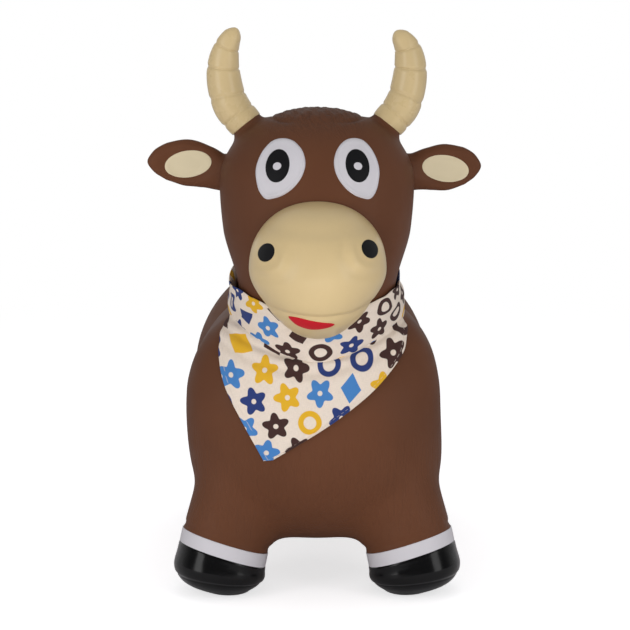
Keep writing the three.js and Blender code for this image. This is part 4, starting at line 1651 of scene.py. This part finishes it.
    def muzzle(self) -> bpy.types.Object:
        """The muzzle, with its nostril bosses, brow ledge, lip and chin.

        Returns:
            The muzzle.
        """
        form = Form(
            self.muzzle_stations, Cap(0.0), self.muzzle_cap, sideways=(-1.0, 0.0, 0.0), square=self.square
        )
        muzzle = form.build("muzzle_shell", 200, 150)
        spot = points_of(muzzle)
        spot[:, 0] *= 1 - self.chin_narrow * smoothstep(*self.chin_levels, spot[:, 2])
        move_points(muzzle, spot)
        move_points(muzzle, spot + normals_of(muzzle) * self.features(spot)[:, None])
        face_outwards(muzzle)
        return muzzle

    def features(self, spot: np.ndarray) -> np.ndarray:
        """How far the muzzle's skin rises in the nostril bosses and the lip, and dips in the brow ledge.

        Args:
            spot: The skin's points, in millimetres.

        Returns:
            One distance per point, in millimetres.
        """
        x, y, z = spot.T
        ahead = smoothstep(-195, -225, y)
        bump = np.zeros(len(x))
        for side in Side:
            sign = side.value
            high = self.boss_z + self.boss_askew * sign
            far = np.hypot((x - sign * self.boss_x) * 0.85, (z - high) * 0.9)
            slope = (sign * self.boss_x - x) * sign / self.boss_inward + (high - z) / self.boss_inward
            inward = smoothstep(0.2, 1.0, slope)
            bump += 1.9 * hump(far, 14.0) + 1.5 * hump(far - 13.5, 3.6) * inward
            bump -= 0.9 * hump(far - 21.0, 4.5) * inward
        below = np.interp(x, *zip(*self.lip)) - z
        lip = -1.6 * hump(below, 2.4) + 1.5 * hump(below - 9.0, 7.0) + 0.5 * hump(below + 8.0, 7.0)
        ledge = -1.5 * hump(z - self.ledge_z - 0.0014 * x**2, 7.5) * (1 - smoothstep(45, 62, np.abs(x)))
        return bump + window(x, self.lip_ends) * ahead * lip + ledge * ahead

    def face(self, finishes: Finishes, snout: Surface) -> None:
        """The painted eyes, nostrils and mouth.

        Args:
            finishes: The hopper's finishes.
            snout: The muzzle's skin.
        """
        white, black = (finishes.white, "white_vinyl"), (finishes.ink, "black_vinyl")
        for side in Side:
            word = side.word
            wider = self.right_eye_wider if side is Side.RIGHT else 1.0
            eye = [(self.eye_corner - (self.eye_corner - x) * wider, z + self.eye_lift) for x, z in self.eye]
            pupil = egg(38.6, 437.2, 12.2, 16.8, 15.0)
            glint = egg(38.9, 436.9, 4.5, 3.6, -24.0)
            nostril = egg(49.6, 363.0 + self.nostril_askew * side.value, 7.0, 9.8, 42.0)
            self.paint(Panel(f"eye_white_{word}", eye, 1.3, rim=1.0), self.surface, *white, side)
            self.paint(Panel(f"pupil_{word}", pupil, 1.7), self.surface, *black, side)
            self.paint(Panel(f"glint_{word}", glint, 2.1), self.surface, *white, side)
            self.paint(Panel(f"nostril_{word}", nostril, 0.5), snout, *black, side)
        self.paint(Panel("mouth", self.mouth), snout, finishes.red, "red_vinyl")

    @staticmethod
    def paint(
        panel: Panel, surface: Surface, material: bpy.types.Material, slot: str, side: Side = Side.LEFT
    ) -> None:
        """Lays a painted patch on the head and dresses it.

        Args:
            panel: The patch, drawn for the left side or the middle.
            surface: The skin under it.
            material: Its material.
            slot: A material slot's name; not used.
            side: The side that it is laid on.
        """
        piece = panel.build(surface, side is Side.RIGHT)
        dress(piece, material, [panel.name])
        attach(piece, "head")


# Ears and horns


@dataclass
class Ear:
    """One ear: a dished leaf on the temple, with its painted lining, in millimetres.

    A row has a station's x, y, z, its half height and half thickness, and how much of the right ear's lift
    and of the left ear's shortness it takes.
    """

    side: Side
    right_lift: float = 4.8
    left_short: float = 5.0
    rows: tuple[tuple[float, ...], ...] = (
        (80.0, -94.0, 421.0, 22.0, 17.0, 0.0, 0.0),
        (97.0, -92.0, 422.0, 18.8, 13.0, 0.0, 0.0),
        (112.0, -92.0, 424.5, 21.4, 10.4, 0.5, 0.0),
        (130.0, -92.0, 426.5, 23.6, 9.4, 1.0, 0.25),
        (151.0, -92.5, 428.0, 19.0, 8.0, 1.0, 0.5),
        (171.0, -94.0, 428.0, 7.5, 4.8, 1.0, 1.0),
    )
    dish_at: tuple[float, float] = (132.0, 425.5)
    dish_half: tuple[float, float] = (33.0, 19.0)
    dish_front: tuple[float, float] = (-92.0, -96.0)
    dish_deep: float = 5.2
    lining_at: tuple[float, float] = (129.8, 425.7)
    lining_half: tuple[float, float] = (24.3, 13.8)
    lining_tilt: float = -9.0

    def build(self, finishes: Finishes) -> None:
        """Models and dresses the ear.

        Args:
            finishes: The hopper's finishes.
        """
        sign = self.side.value
        is_right = self.side is Side.RIGHT
        lift = self.right_lift if is_right else 0.0
        short = 0.0 if is_right else self.left_short
        stations = [
            Station((sign * (x - short * cut), y, z + lift * raised), (tall, thick, thick))
            for x, y, z, tall, thick, raised, cut in self.rows
        ]
        name = f"ear_{self.side.word}"
        form = Form(stations, Cap(0.0), Cap(0.1), sideways=(0.0, 0.0, sign))
        ear = form.build(f"{name}_leaf", 96, 110)
        move_points(ear, self.dished(points_of(ear), lift))
        face_outwards(ear)
        leaf = Surface(ear)
        dress(ear, finishes.brown, [name])
        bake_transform(ear)
        x, z = self.lining_at
        outline = egg(x, z + lift, *self.lining_half, self.lining_tilt)
        lining = Panel(f"ear_lining_{self.side.word}", outline, 0.5, sink=1.5)
        patch = lining.build(leaf, is_right)
        dress(patch, finishes.lining, [lining.name])
        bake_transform(patch)

    def dished(self, spot: np.ndarray, lift: float) -> np.ndarray:
        """The leaf's points, with the hollow in its front.

        Args:
            spot: The leaf's points, in millimetres.
            lift: How far this ear is lifted.

        Returns:
            The moved points.
        """
        (x, z), (wide, tall) = self.dish_at, self.dish_half
        out = np.hypot((spot[:, 0] * self.side.value - x) / wide, (spot[:, 2] - z - lift) / tall)
        front = smoothstep(*self.dish_front, spot[:, 1])
        spot[:, 1] += front * self.dish_deep * (1 - smoothstep(0.35, 1.1, out))
        return spot


@dataclass
class Horn:
    """One horn: a bowed, ringed grip on its stump, in millimetres.

    A row has a station's x, y, z, its radius, and how much of the left horn's lower tip it takes.
    """

    side: Side
    left_lower: float = 3.0
    rows: tuple[tuple[float, ...], ...] = (
        (70.9, -95.1, 470.2, 17.0, 0.0),
        (86.5, -92.0, 490.0, 17.6, 0.0),
        (94.0, -90.0, 523.0, 16.2, 0.0),
        (90.5, -92.5, 547.0, 12.6, 0.0),
        (80.5, -96.0, 567.0, 6.8, 1.0),
    )
    stump: Point = (67.81, -95.74, 466.33)
    root: Point = (0.615, 0.123, 0.779)
    bend_length: float = 22.0
    grooves: tuple[float, ...] = (0.12, 0.32, 0.54, 0.76)
    groove_deep: float = 0.9
    groove_wide: float = 0.014
    groove_slant: float = 0.012
    last_ring: float = 0.97
    ring_proud: float = 0.45
    facet: float = 0.35

    def build(self, finishes: Finishes) -> None:
        """Models and dresses the horn.

        Args:
            finishes: The hopper's finishes.
        """
        flip = np.array((self.side.value, 1.0, 1.0))
        lower = self.left_lower if self.side is Side.LEFT else 0.0
        stations = [
            Station((self.side.value * (x - lower * sunk / 2), y, z - lower * sunk), (half, half, half))
            for x, y, z, half, sunk in self.rows
        ]
        root = np.array(self.root) * flip
        sideways = tuple(unit(np.cross(root, NORTH)))
        form = Form(stations, Cap(0.0), Cap(0.1), sideways=sideways, flat_rows=0.05, ripple=self.rings)
        name = f"horn_{self.side.word}"
        horn = form.build(f"{name}_grip", 72, 200)
        dress(horn, finishes.horn, [name])
        start = np.array(self.stump) * flip
        end = start + root * self.bend_length
        tuple(end * MM)
        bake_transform(horn)

    def rings(self, along: np.ndarray, turn: np.ndarray) -> np.ndarray:
        """How far the horn swells between its grooves and dips in them.

        Args:
            along: Shares of the spine.
            turn: Turns round the piece.

        Returns:
            One distance per point, in millimetres.
        """
        swell = np.zeros_like(along)
        edges = (0.0, *self.grooves, self.last_ring)
        for low, high in zip(edges, edges[1:]):
            share = np.clip((along - low) / (high - low), 0, 1)
            swell += self.ring_proud * np.sin(share * math.pi) ** 0.7
        for at in self.grooves:
            swell -= self.groove_deep * hump(along - at - self.groove_slant * np.cos(turn), self.groove_wide)
        return swell + self.facet * np.cos(4 * turn + 0.6)


# Bandana


def unroll(obj: bpy.types.Object, flat: np.ndarray, hem: Optional[np.ndarray] = None) -> None:
    """Gives a cloth piece its own map in metres and its hem's nearness.

    Args:
        obj: The piece.
        flat: Each vertex's place on the flat cloth, in millimetres.
        hem: How near each vertex is to a hem, from 0 to 1; none is near where it is left out.
    """
    layer = obj.data.uv_layers.new(name="cloth")
    corners = np.zeros(len(obj.data.loops), int)
    obj.data.loops.foreach_get("vertex_index", corners)
    layer.data.foreach_set("uv", np.ascontiguousarray(flat[corners] * MM).ravel())
    mark = obj.data.attributes.new("hem", "FLOAT", "POINT")
    near = np.zeros(len(flat)) if hem is None else hem
    mark.data.foreach_set("value", np.ascontiguousarray(near))


@dataclass
class Bandana:
    """The cotton bandana: a folded collar, the drape over the chest, the knot and its two ends.

    Sizes are in millimetres. A swoop of the drape has its lowest z, its bend, its height and its width.
    """

    collar_lift: float = 16.0
    collar_half: float = 15.5
    collar_inner: float = 84.6
    collar_thick: float = 5.4
    collar_square: float = 0.75
    dome_gap: float = 0.3
    skin_gap: float = 0.9
    flank_rise: float = 11.0
    flank_puff: float = 5.0
    throat_rise: float = 14.0
    throat_spread: float = 13.0
    chin_rise: float = 4.0
    fold_tall: float = 1.2
    pucker_tall: float = 0.9
    pleat_at: float = 196.0
    pleat_wide: float = 0.07
    pleat_tall: float = 2.4
    crease_tall: float = 1.1
    nape_pinch: float = 0.28
    edge_roll: float = 6.0
    cloth: float = 1.1
    clear: float = 1.2
    hem_wide: float = 9.0
    hinge: Point = (-23.2, -196.2, 210.0)
    right_edge: Outline = ((-84, 283), (-93, 268), (-97, 243), (-91, 218), (-75, 187), (-52.5, 145))
    left_edge: Outline = ((80, 285), (88, 270), (86, 250), (64, 222), (24, 190), (-45.5, 146))
    columns: int = 110
    rows: int = 130
    swoops: tuple[Levels, ...] = (
        (238.0, 0.0032, 4.2, 5.5),
        (222.0, 0.0036, 2.6, 7.0),
        (252.0, 0.003, 3.0, 5.0),
    )
    knot_out: float = 7.5
    knot_half: Point = (11.5, 12.5, 16.5)
    end_spread: float = 38.0
    end_length: float = 62.0
    end_shares: tuple[float, ...] = (0.0, 0.4, 0.7, 1.0)
    end_halves: tuple[tuple[float], ...] = ((7.0,), (10.0,), (12.5,), (13.0,))
    end_over: float = 2.6
    end_clear: float = 0.4
    end_tip: float = 0.03

    def build(self, finishes: Finishes, body: Surface, head: Surface) -> None:
        """Models and dresses the bandana on the body and the neck.

        Args:
            finishes: The hopper's finishes.
            body: The torso's skin.
            head: The head's skin.
        """
        self.body = body
        collar = self.collar(finishes, head)
        self.drape(finishes)
        knot = self.knot(finishes)

    def raised(self, front: np.ndarray, share: np.ndarray) -> np.ndarray:
        """How far the collar climbs the throat.

        Args:
            front: How far round to the front, from 0 at the sides to 1 under the chin.
            share: The place on the collar, from 0 at its lower edge to 1 at its upper edge.

        Returns:
            The climb along the neck, in millimetres.
        """
        rise = self.throat_rise + self.throat_spread * share
        return rise * smoothstep(0.0, 0.7, front) - (rise - self.chin_rise) * smoothstep(0.78, 1.0, front)

    def collar_folds(self, turn: np.ndarray, rise: np.ndarray, front: np.ndarray) -> np.ndarray:
        """How far the collar's outside stands off in folds, puckers, one pleat and the front's creases.

        Args:
            turn: Turns round the neck.
            rise: Places from -1 below to 1 above.
            front: How far round to the front.

        Returns:
            One distance per point, in millimetres.
        """
        aside = np.abs(np.cos(turn))
        folds = self.fold_tall * np.sin(3.4 * rise + 2.2 * np.cos(turn * 2.0) + 6.0 * aside)
        puckers = self.pucker_tall * np.sin(9 * turn + 4 * rise) * (1 - front)
        pleat = hump(np.mod(turn, FULL_TURN) - math.radians(self.pleat_at), self.pleat_wide)
        creases = self.crease_tall * np.sin(7.0 * rise + 14.0 * aside) * smoothstep(0.1, 0.5, front)
        return folds + puckers + pleat * self.pleat_tall * np.cos(5.0 * rise) + creases

    def collar(self, finishes: Finishes, head: Surface) -> bpy.types.Object:
        """The folded collar, close round the neck, with folds that swoop to the front.

        Args:
            finishes: The hopper's finishes.
            head: The head's skin.

        Returns:
            The collar.
        """
        flat = np.zeros((0, 2))

        def place(turn: np.ndarray, section: np.ndarray) -> np.ndarray:
            """Each vertex's place, in millimetres."""
            nonlocal flat
            rise = squarer(np.sin(section), self.collar_square)
            share = (rise + 1) / 2
            out = np.cos(section)
            front = np.maximum(0.0, -np.sin(turn))
            nape = hump(np.mod(turn + math.pi / 2, FULL_TURN) - math.pi, 0.35)
            right = hump(np.mod(turn, FULL_TURN) - math.pi, 0.3)
            height = self.collar_lift + self.collar_half * rise * (1.0 - self.nape_pinch * nape)
            height += self.raised(front, share)
            height += self.flank_rise * share * smoothstep(0.8, 1.0, np.abs(np.cos(turn)))
            way = circle(turn, EAST, NECK_BACK)
            spine = NECK + NECK_AXIS * height[:, None]
            inner = np.zeros(len(turn))
            for i in range(len(turn)):
                skin, _ = head.hit(spine[i] + way[i] * 200.0, -way[i])
                dome = math.sqrt(max(0.0, (self.collar_inner + self.dome_gap) ** 2 - height[i] ** 2))
                inner[i] = max(float((skin - spine[i]) @ way[i]) + self.skin_gap, dome)
            folds = self.collar_folds(turn, rise, front) * np.maximum(0, out)
            radius = inner + self.collar_thick * 0.5 * (1 + out) + folds
            radius += self.flank_puff * right * smoothstep(-0.2, 1.0, rise)
            flat = np.stack([turn * self.collar_inner, height + self.edge_roll * section], axis=1)
            return spine + way * radius[:, None]

        piece = shaped("collar_roll", Start.RING, 260, 40, place)
        modify(piece, "SMOOTH", factor=0.5, iterations=2)
        unroll(piece, flat)
        dress(piece, finishes.cotton, ["bandana_collar"])
        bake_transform(piece)
        return piece

    def drape(self, finishes: Finishes) -> None:
        """The drape and flap: one hemmed sheet on the chest, from under the collar to its point.

        Args:
            finishes: The hopper's finishes.
        """
        deselect()
        bpy.ops.mesh.primitive_grid_add(x_subdivisions=self.columns, y_subdivisions=self.rows, size=2.0)
        sheet = bpy.context.object
        sheet.name = sheet.data.name = "bandana_drape"
        while sheet.data.uv_layers:
            sheet.data.uv_layers.remove(sheet.data.uv_layers[0])
        grid = points_of(sheet) * MM
        across, down = (grid[:, 0] + 1) / 2, (1 - grid[:, 1]) / 2
        right, left = spline(self.right_edge, down), spline(self.left_edge, down)
        flat = right * (1 - across)[:, None] + left * across[:, None]
        x, z = flat.T
        spot, normal = self.body.front(x, z)
        stand = spot - NECK
        front = np.clip(-(stand @ NECK_BACK) / self.collar_inner, 0.0, 1.0)
        collar_edge = self.collar_lift - self.collar_half + self.raised(front, np.zeros(len(front)))
        open_cloth = 1 - smoothstep(-3.0, 6.0, stand @ NECK_AXIS - collar_edge)
        lift = self.clear + self.folds(x, z, across, down) * open_cloth
        move_points(sheet, spot + normal * lift[:, None])
        modify(sheet, "SMOOTH", factor=0.5, iterations=6)
        move_points(sheet, self.body.push_out(points_of(sheet), self.clear))
        edge = np.minimum(across, 1 - across) * np.linalg.norm(right - left, axis=1)
        unroll(sheet, flat, 1 - smoothstep(0.0, self.hem_wide, edge))
        modify(sheet, "SOLIDIFY", thickness=self.cloth * MM, offset=1.0)
        bpy.ops.object.shade_smooth()
        dress(sheet, finishes.cotton, ["bandana_yoke", "bandana_flap"])
        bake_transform(sheet)

    def folds(self, x: np.ndarray, z: np.ndarray, across: np.ndarray, down: np.ndarray) -> np.ndarray:
        """How far the drape stands off the chest: swoops, falling folds, curled edges and side folds.

        Args:
            x: Places across, in millimetres.
            z: Heights, in millimetres.
            across: Shares from the right edge to the left.
            down: Shares from the top to the point.

        Returns:
            One distance per point, in millimetres.
        """
        swoop = np.zeros_like(x)
        for low, bend, tall, wide in self.swoops:
            swoop += tall * hump(z - low - bend * (x + 8.0) ** 2, wide)
        fall = 1.6 * (1 + np.cos(FULL_TURN * (2.6 * across + 0.12)))
        fall = fall * np.sin(math.pi * np.clip(down, 0, 1)) ** 1.2
        curl = 1.8 * hump(np.minimum(across, 1 - across), 0.05) * smoothstep(0.45, 0.8, down)
        side = 2.4 * hump(x + 79.0 + 0.06 * (z - 250.0), 3.6) * smoothstep(212, 228, z)
        side += 2.0 * hump(x - 78.0, 3.6) * smoothstep(240, 252, z)
        return swoop + fall * smoothstep(0.3, 0.55, down) + curl + side

    def knot(self, finishes: Finishes) -> bpy.types.Object:
        """The knot at the nape and the two ends that lie on the back.

        Args:
            finishes: The hopper's finishes.

        Returns:
            The knot.
        """
        out = self.collar_inner + self.collar_thick + self.knot_out
        middle = NECK + NECK_AXIS * self.collar_lift + NECK_BACK * out
        flat = np.zeros((0, 2))

        def place(turn: np.ndarray, share: np.ndarray) -> np.ndarray:
            """Each vertex's place, in millimetres."""
            nonlocal flat
            height = np.cos(share * math.pi)
            swell = 1.0 + 0.10 * np.sin(3 * turn + 4 * height) + 0.06 * np.cos(7 * turn + 9 * share)
            flat = np.stack([turn * 9.0, share * 36.0], axis=1)
            sizes = ball(turn, share) * np.stack([swell, swell, np.ones_like(swell)], axis=1)
            return middle + sizes * np.array(self.knot_half) @ np.stack([NECK_BACK, NECK_AXIS, EAST])

        knot = shaped("knot_roll", Start.BALL, 72, 60, place)
        unroll(knot, flat)
        dress(knot, finishes.cotton, ["bandana_knot"])
        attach(knot, "torso")
        for side in Side:
            self.end(finishes, side, middle)
        return knot

    def end(self, finishes: Finishes, side: Side, middle: np.ndarray) -> None:
        """One end of the bandana, from the knot down on to the back.

        Args:
            finishes: The hopper's finishes.
            side: The end's side.
            middle: The knot's middle, in millimetres.
        """
        spread = math.radians(self.end_spread)
        heading = np.array((side.value * math.sin(spread), math.cos(spread), 0.0))
        across = unit(np.cross(heading, UP))
        path = []
        for share in self.end_shares:
            above = middle + heading * (self.end_length * share)
            spot, _ = self.body.hit((above[0], above[1], 600.0), -UP)
            hang = (middle[2] - spot[2]) * max(0.0, 1 - share / 0.55) ** 2
            path.append(spot + UP * (self.end_over + hang))
        flat = np.zeros((0, 2))

        def place(turn: np.ndarray, share: np.ndarray) -> np.ndarray:
            """Each vertex's place, in millimetres."""
            nonlocal flat
            tip = self.end_tip
            along = np.clip((share - tip) / (1 - 2 * tip), 0, 1)
            wide = spline(self.end_halves, along)[:, 0]
            wide = wide * np.clip(np.minimum(share / tip, (1 - share) / tip), 0, 1)
            level = squarer(np.cos(turn), 0.6)
            fold = 2.2 * np.cos(2.6 * level + 0.6) * (1 - 0.5 * along)
            flat = np.stack([level * wide + 40.0 * side.value, along * 70.0], axis=1)
            point = spline(path, along) + across * (level * wide)[:, None]
            return point + UP * (fold + np.sin(turn) * np.minimum(1, wide / 4))[:, None]

        piece = shaped(f"scarf_end_{side.word}", Start.BALL, 48, 80, place)
        move_points(piece, self.body.push_out(points_of(piece), self.end_clear))
        unroll(piece, flat)
        dress(piece, finishes.cotton, [f"bandana_end_{side.word}"])
        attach(piece, "torso")


# Studio


@dataclass(frozen=True)
class Lamp:
    """A soft box, with its place, aim and size in metres and its power in watts."""

    name: str
    at: Point
    aim: Point
    size: tuple[float, float]
    power: float
    mirrored: bool = True

    def build(self) -> None:
        """Hangs the lamp; one that isn't mirrored doesn't show in gloss."""
        data = bpy.data.lights.new(self.name, "AREA")
        data.shape = "RECTANGLE"
        data.size, data.size_y = self.size
        data.energy = self.power
        lamp = bpy.data.objects.new(self.name, data)
        bpy.context.scene.collection.objects.link(lamp)
        lamp.location = self.at
        lamp.visible_glossy = self.mirrored
        lamp.rotation_euler = (Vector(self.aim) - Vector(self.at)).to_track_quat("-Z", "Y").to_euler()


@dataclass
class Studio:
    """A pale floor, soft lamps and the camera."""

    eye: Point = (-21.0, -2650.0, 705.0)
    tilt: float = 9.54
    turn: float = 0.43
    lens: float = 145.2
    sensor: float = 36.0
    lamps: tuple[Lamp, ...] = (
        Lamp("key", (-1.98, -1.66, 0.85), (0.0, 0.0, 0.25), (0.95, 1.7), 12.6),
        Lamp("fill", (2.0, -1.58, 0.8), (0.0, 0.0, 0.25), (0.95, 1.7), 10.2),
        Lamp("low", (0.0, -1.7, 0.12), (0.0, -0.2, 0.3), (1.3, 0.3), 10.0, False),
        Lamp("top", (0.0, 0.3, 2.4), (0.0, 0.0, 0.2), (1.8, 1.8), 4.5, False),
    )
    white: Tint = (1.0, 1.0, 1.0, 1.0)
    room: Tint = (0.46, 0.46, 0.46, 1.0)
    floor_size: float = 60.0
    floor_drop: float = 0.0004
    floor_lift: float = 0.65
    floor_fade: tuple[float, float] = (0.45, 1.7)

    def build(self) -> None:
        """Sets up the studio."""
        self.floor()
        self.sky()
        for lamp in self.lamps:
            lamp.build()
        data = bpy.data.cameras.new("camera")
        data.lens = self.lens
        data.sensor_width = self.sensor
        data.clip_end = 100.0
        camera = bpy.data.objects.new("camera", data)
        scene = bpy.context.scene
        scene.collection.objects.link(camera)
        camera.location = Vector(self.eye) * MM
        camera.rotation_euler = (math.radians(90.0 - self.tilt), 0.0, -math.radians(self.turn))
        scene.camera = camera
        scene.view_settings.view_transform = "Standard"

    def floor(self) -> None:
        """The floor: pale, and nearly white to the camera, with the shadow kept."""
        deselect()
        bpy.ops.mesh.primitive_plane_add(size=self.floor_size, location=(0.0, 0.0, -self.floor_drop))
        floor = bpy.context.object
        floor.name = "floor"
        graph = Graph("pale_floor")
        graph.set(Base_Color=colour(231, 229, 232), Roughness=0.9)
        plain = Value(graph, graph.shader.outputs[0])
        ray = graph.node("ShaderNodeLightPath", output="Is Camera Ray")
        x, y, _ = graph.axes(graph.place())
        far = ((x * x + y * y) ** 0.5).step(*self.floor_fade)
        lift = graph.node("ShaderNodeEmission", None, {"Strength": ray * self.floor_lift})
        near = graph.node("ShaderNodeAddShader", None, {0: plain, 1: lift})
        white = graph.node("ShaderNodeEmission", None, {"Strength": 1.0})
        mix = graph.node("ShaderNodeMixShader", None, {0: ray * far, 1: near, 2: white})
        graph.tree.links.new(mix.socket, graph.end.inputs[0])
        floor.data.materials.append(graph.material)

    def sky(self) -> None:
        """Even light from all round, white behind the object, and dim in front in the gloss."""
        world = bpy.data.worlds.new("studio")
        bpy.context.scene.world = world
        world.use_nodes = True
        nodes = Nodes(world.node_tree)

        def light(tint: Tint, strength: Number) -> Value:
            """A light of one colour."""
            return nodes.node("ShaderNodeBackground", None, {"Color": tint, "Strength": strength})

        def chosen(ray: str, others: Value, this: Value) -> Value:
            """One light for a kind of ray and another for all other rays."""
            share = nodes.node("ShaderNodeLightPath", output=ray)
            return nodes.node("ShaderNodeMixShader", None, {0: share, 1: others, 2: this})

        _, behind, _ = nodes.axes(nodes.node("ShaderNodeTexCoord", output="Generated"))
        levels = {"From Min": -0.1, "From Max": 0.8, "To Min": 0.08, "To Max": 0.7}
        dim = nodes.node("ShaderNodeMapRange", None, {"Value": behind, **levels})
        lit = chosen("Is Glossy Ray", light(self.room, 1.0), light(self.white, dim))
        shown = chosen("Is Camera Ray", lit, light(self.white, 1.0))
        end = nodes.tree.nodes.new("ShaderNodeOutputWorld")
        nodes.tree.links.new(shown.socket, end.inputs[0])


def main() -> None:
    """Builds the hopper and its studio."""
    logging.basicConfig(level=logging.INFO, format="%(name)s %(message)s")
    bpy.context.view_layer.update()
    finishes = Finishes()
    torso = Torso()
    torso.build(finishes)
    for pair, side in LEGS:
        Foot(pair, side).build(finishes)
    head = Head()
    head.build(finishes)
    for side in Side:
        Ear(side).build(finishes)
        Horn(side).build(finishes)
    Bandana().build(finishes, torso.surface, head.surface)
    Studio().build()


if __name__ == "__main__":
    main()
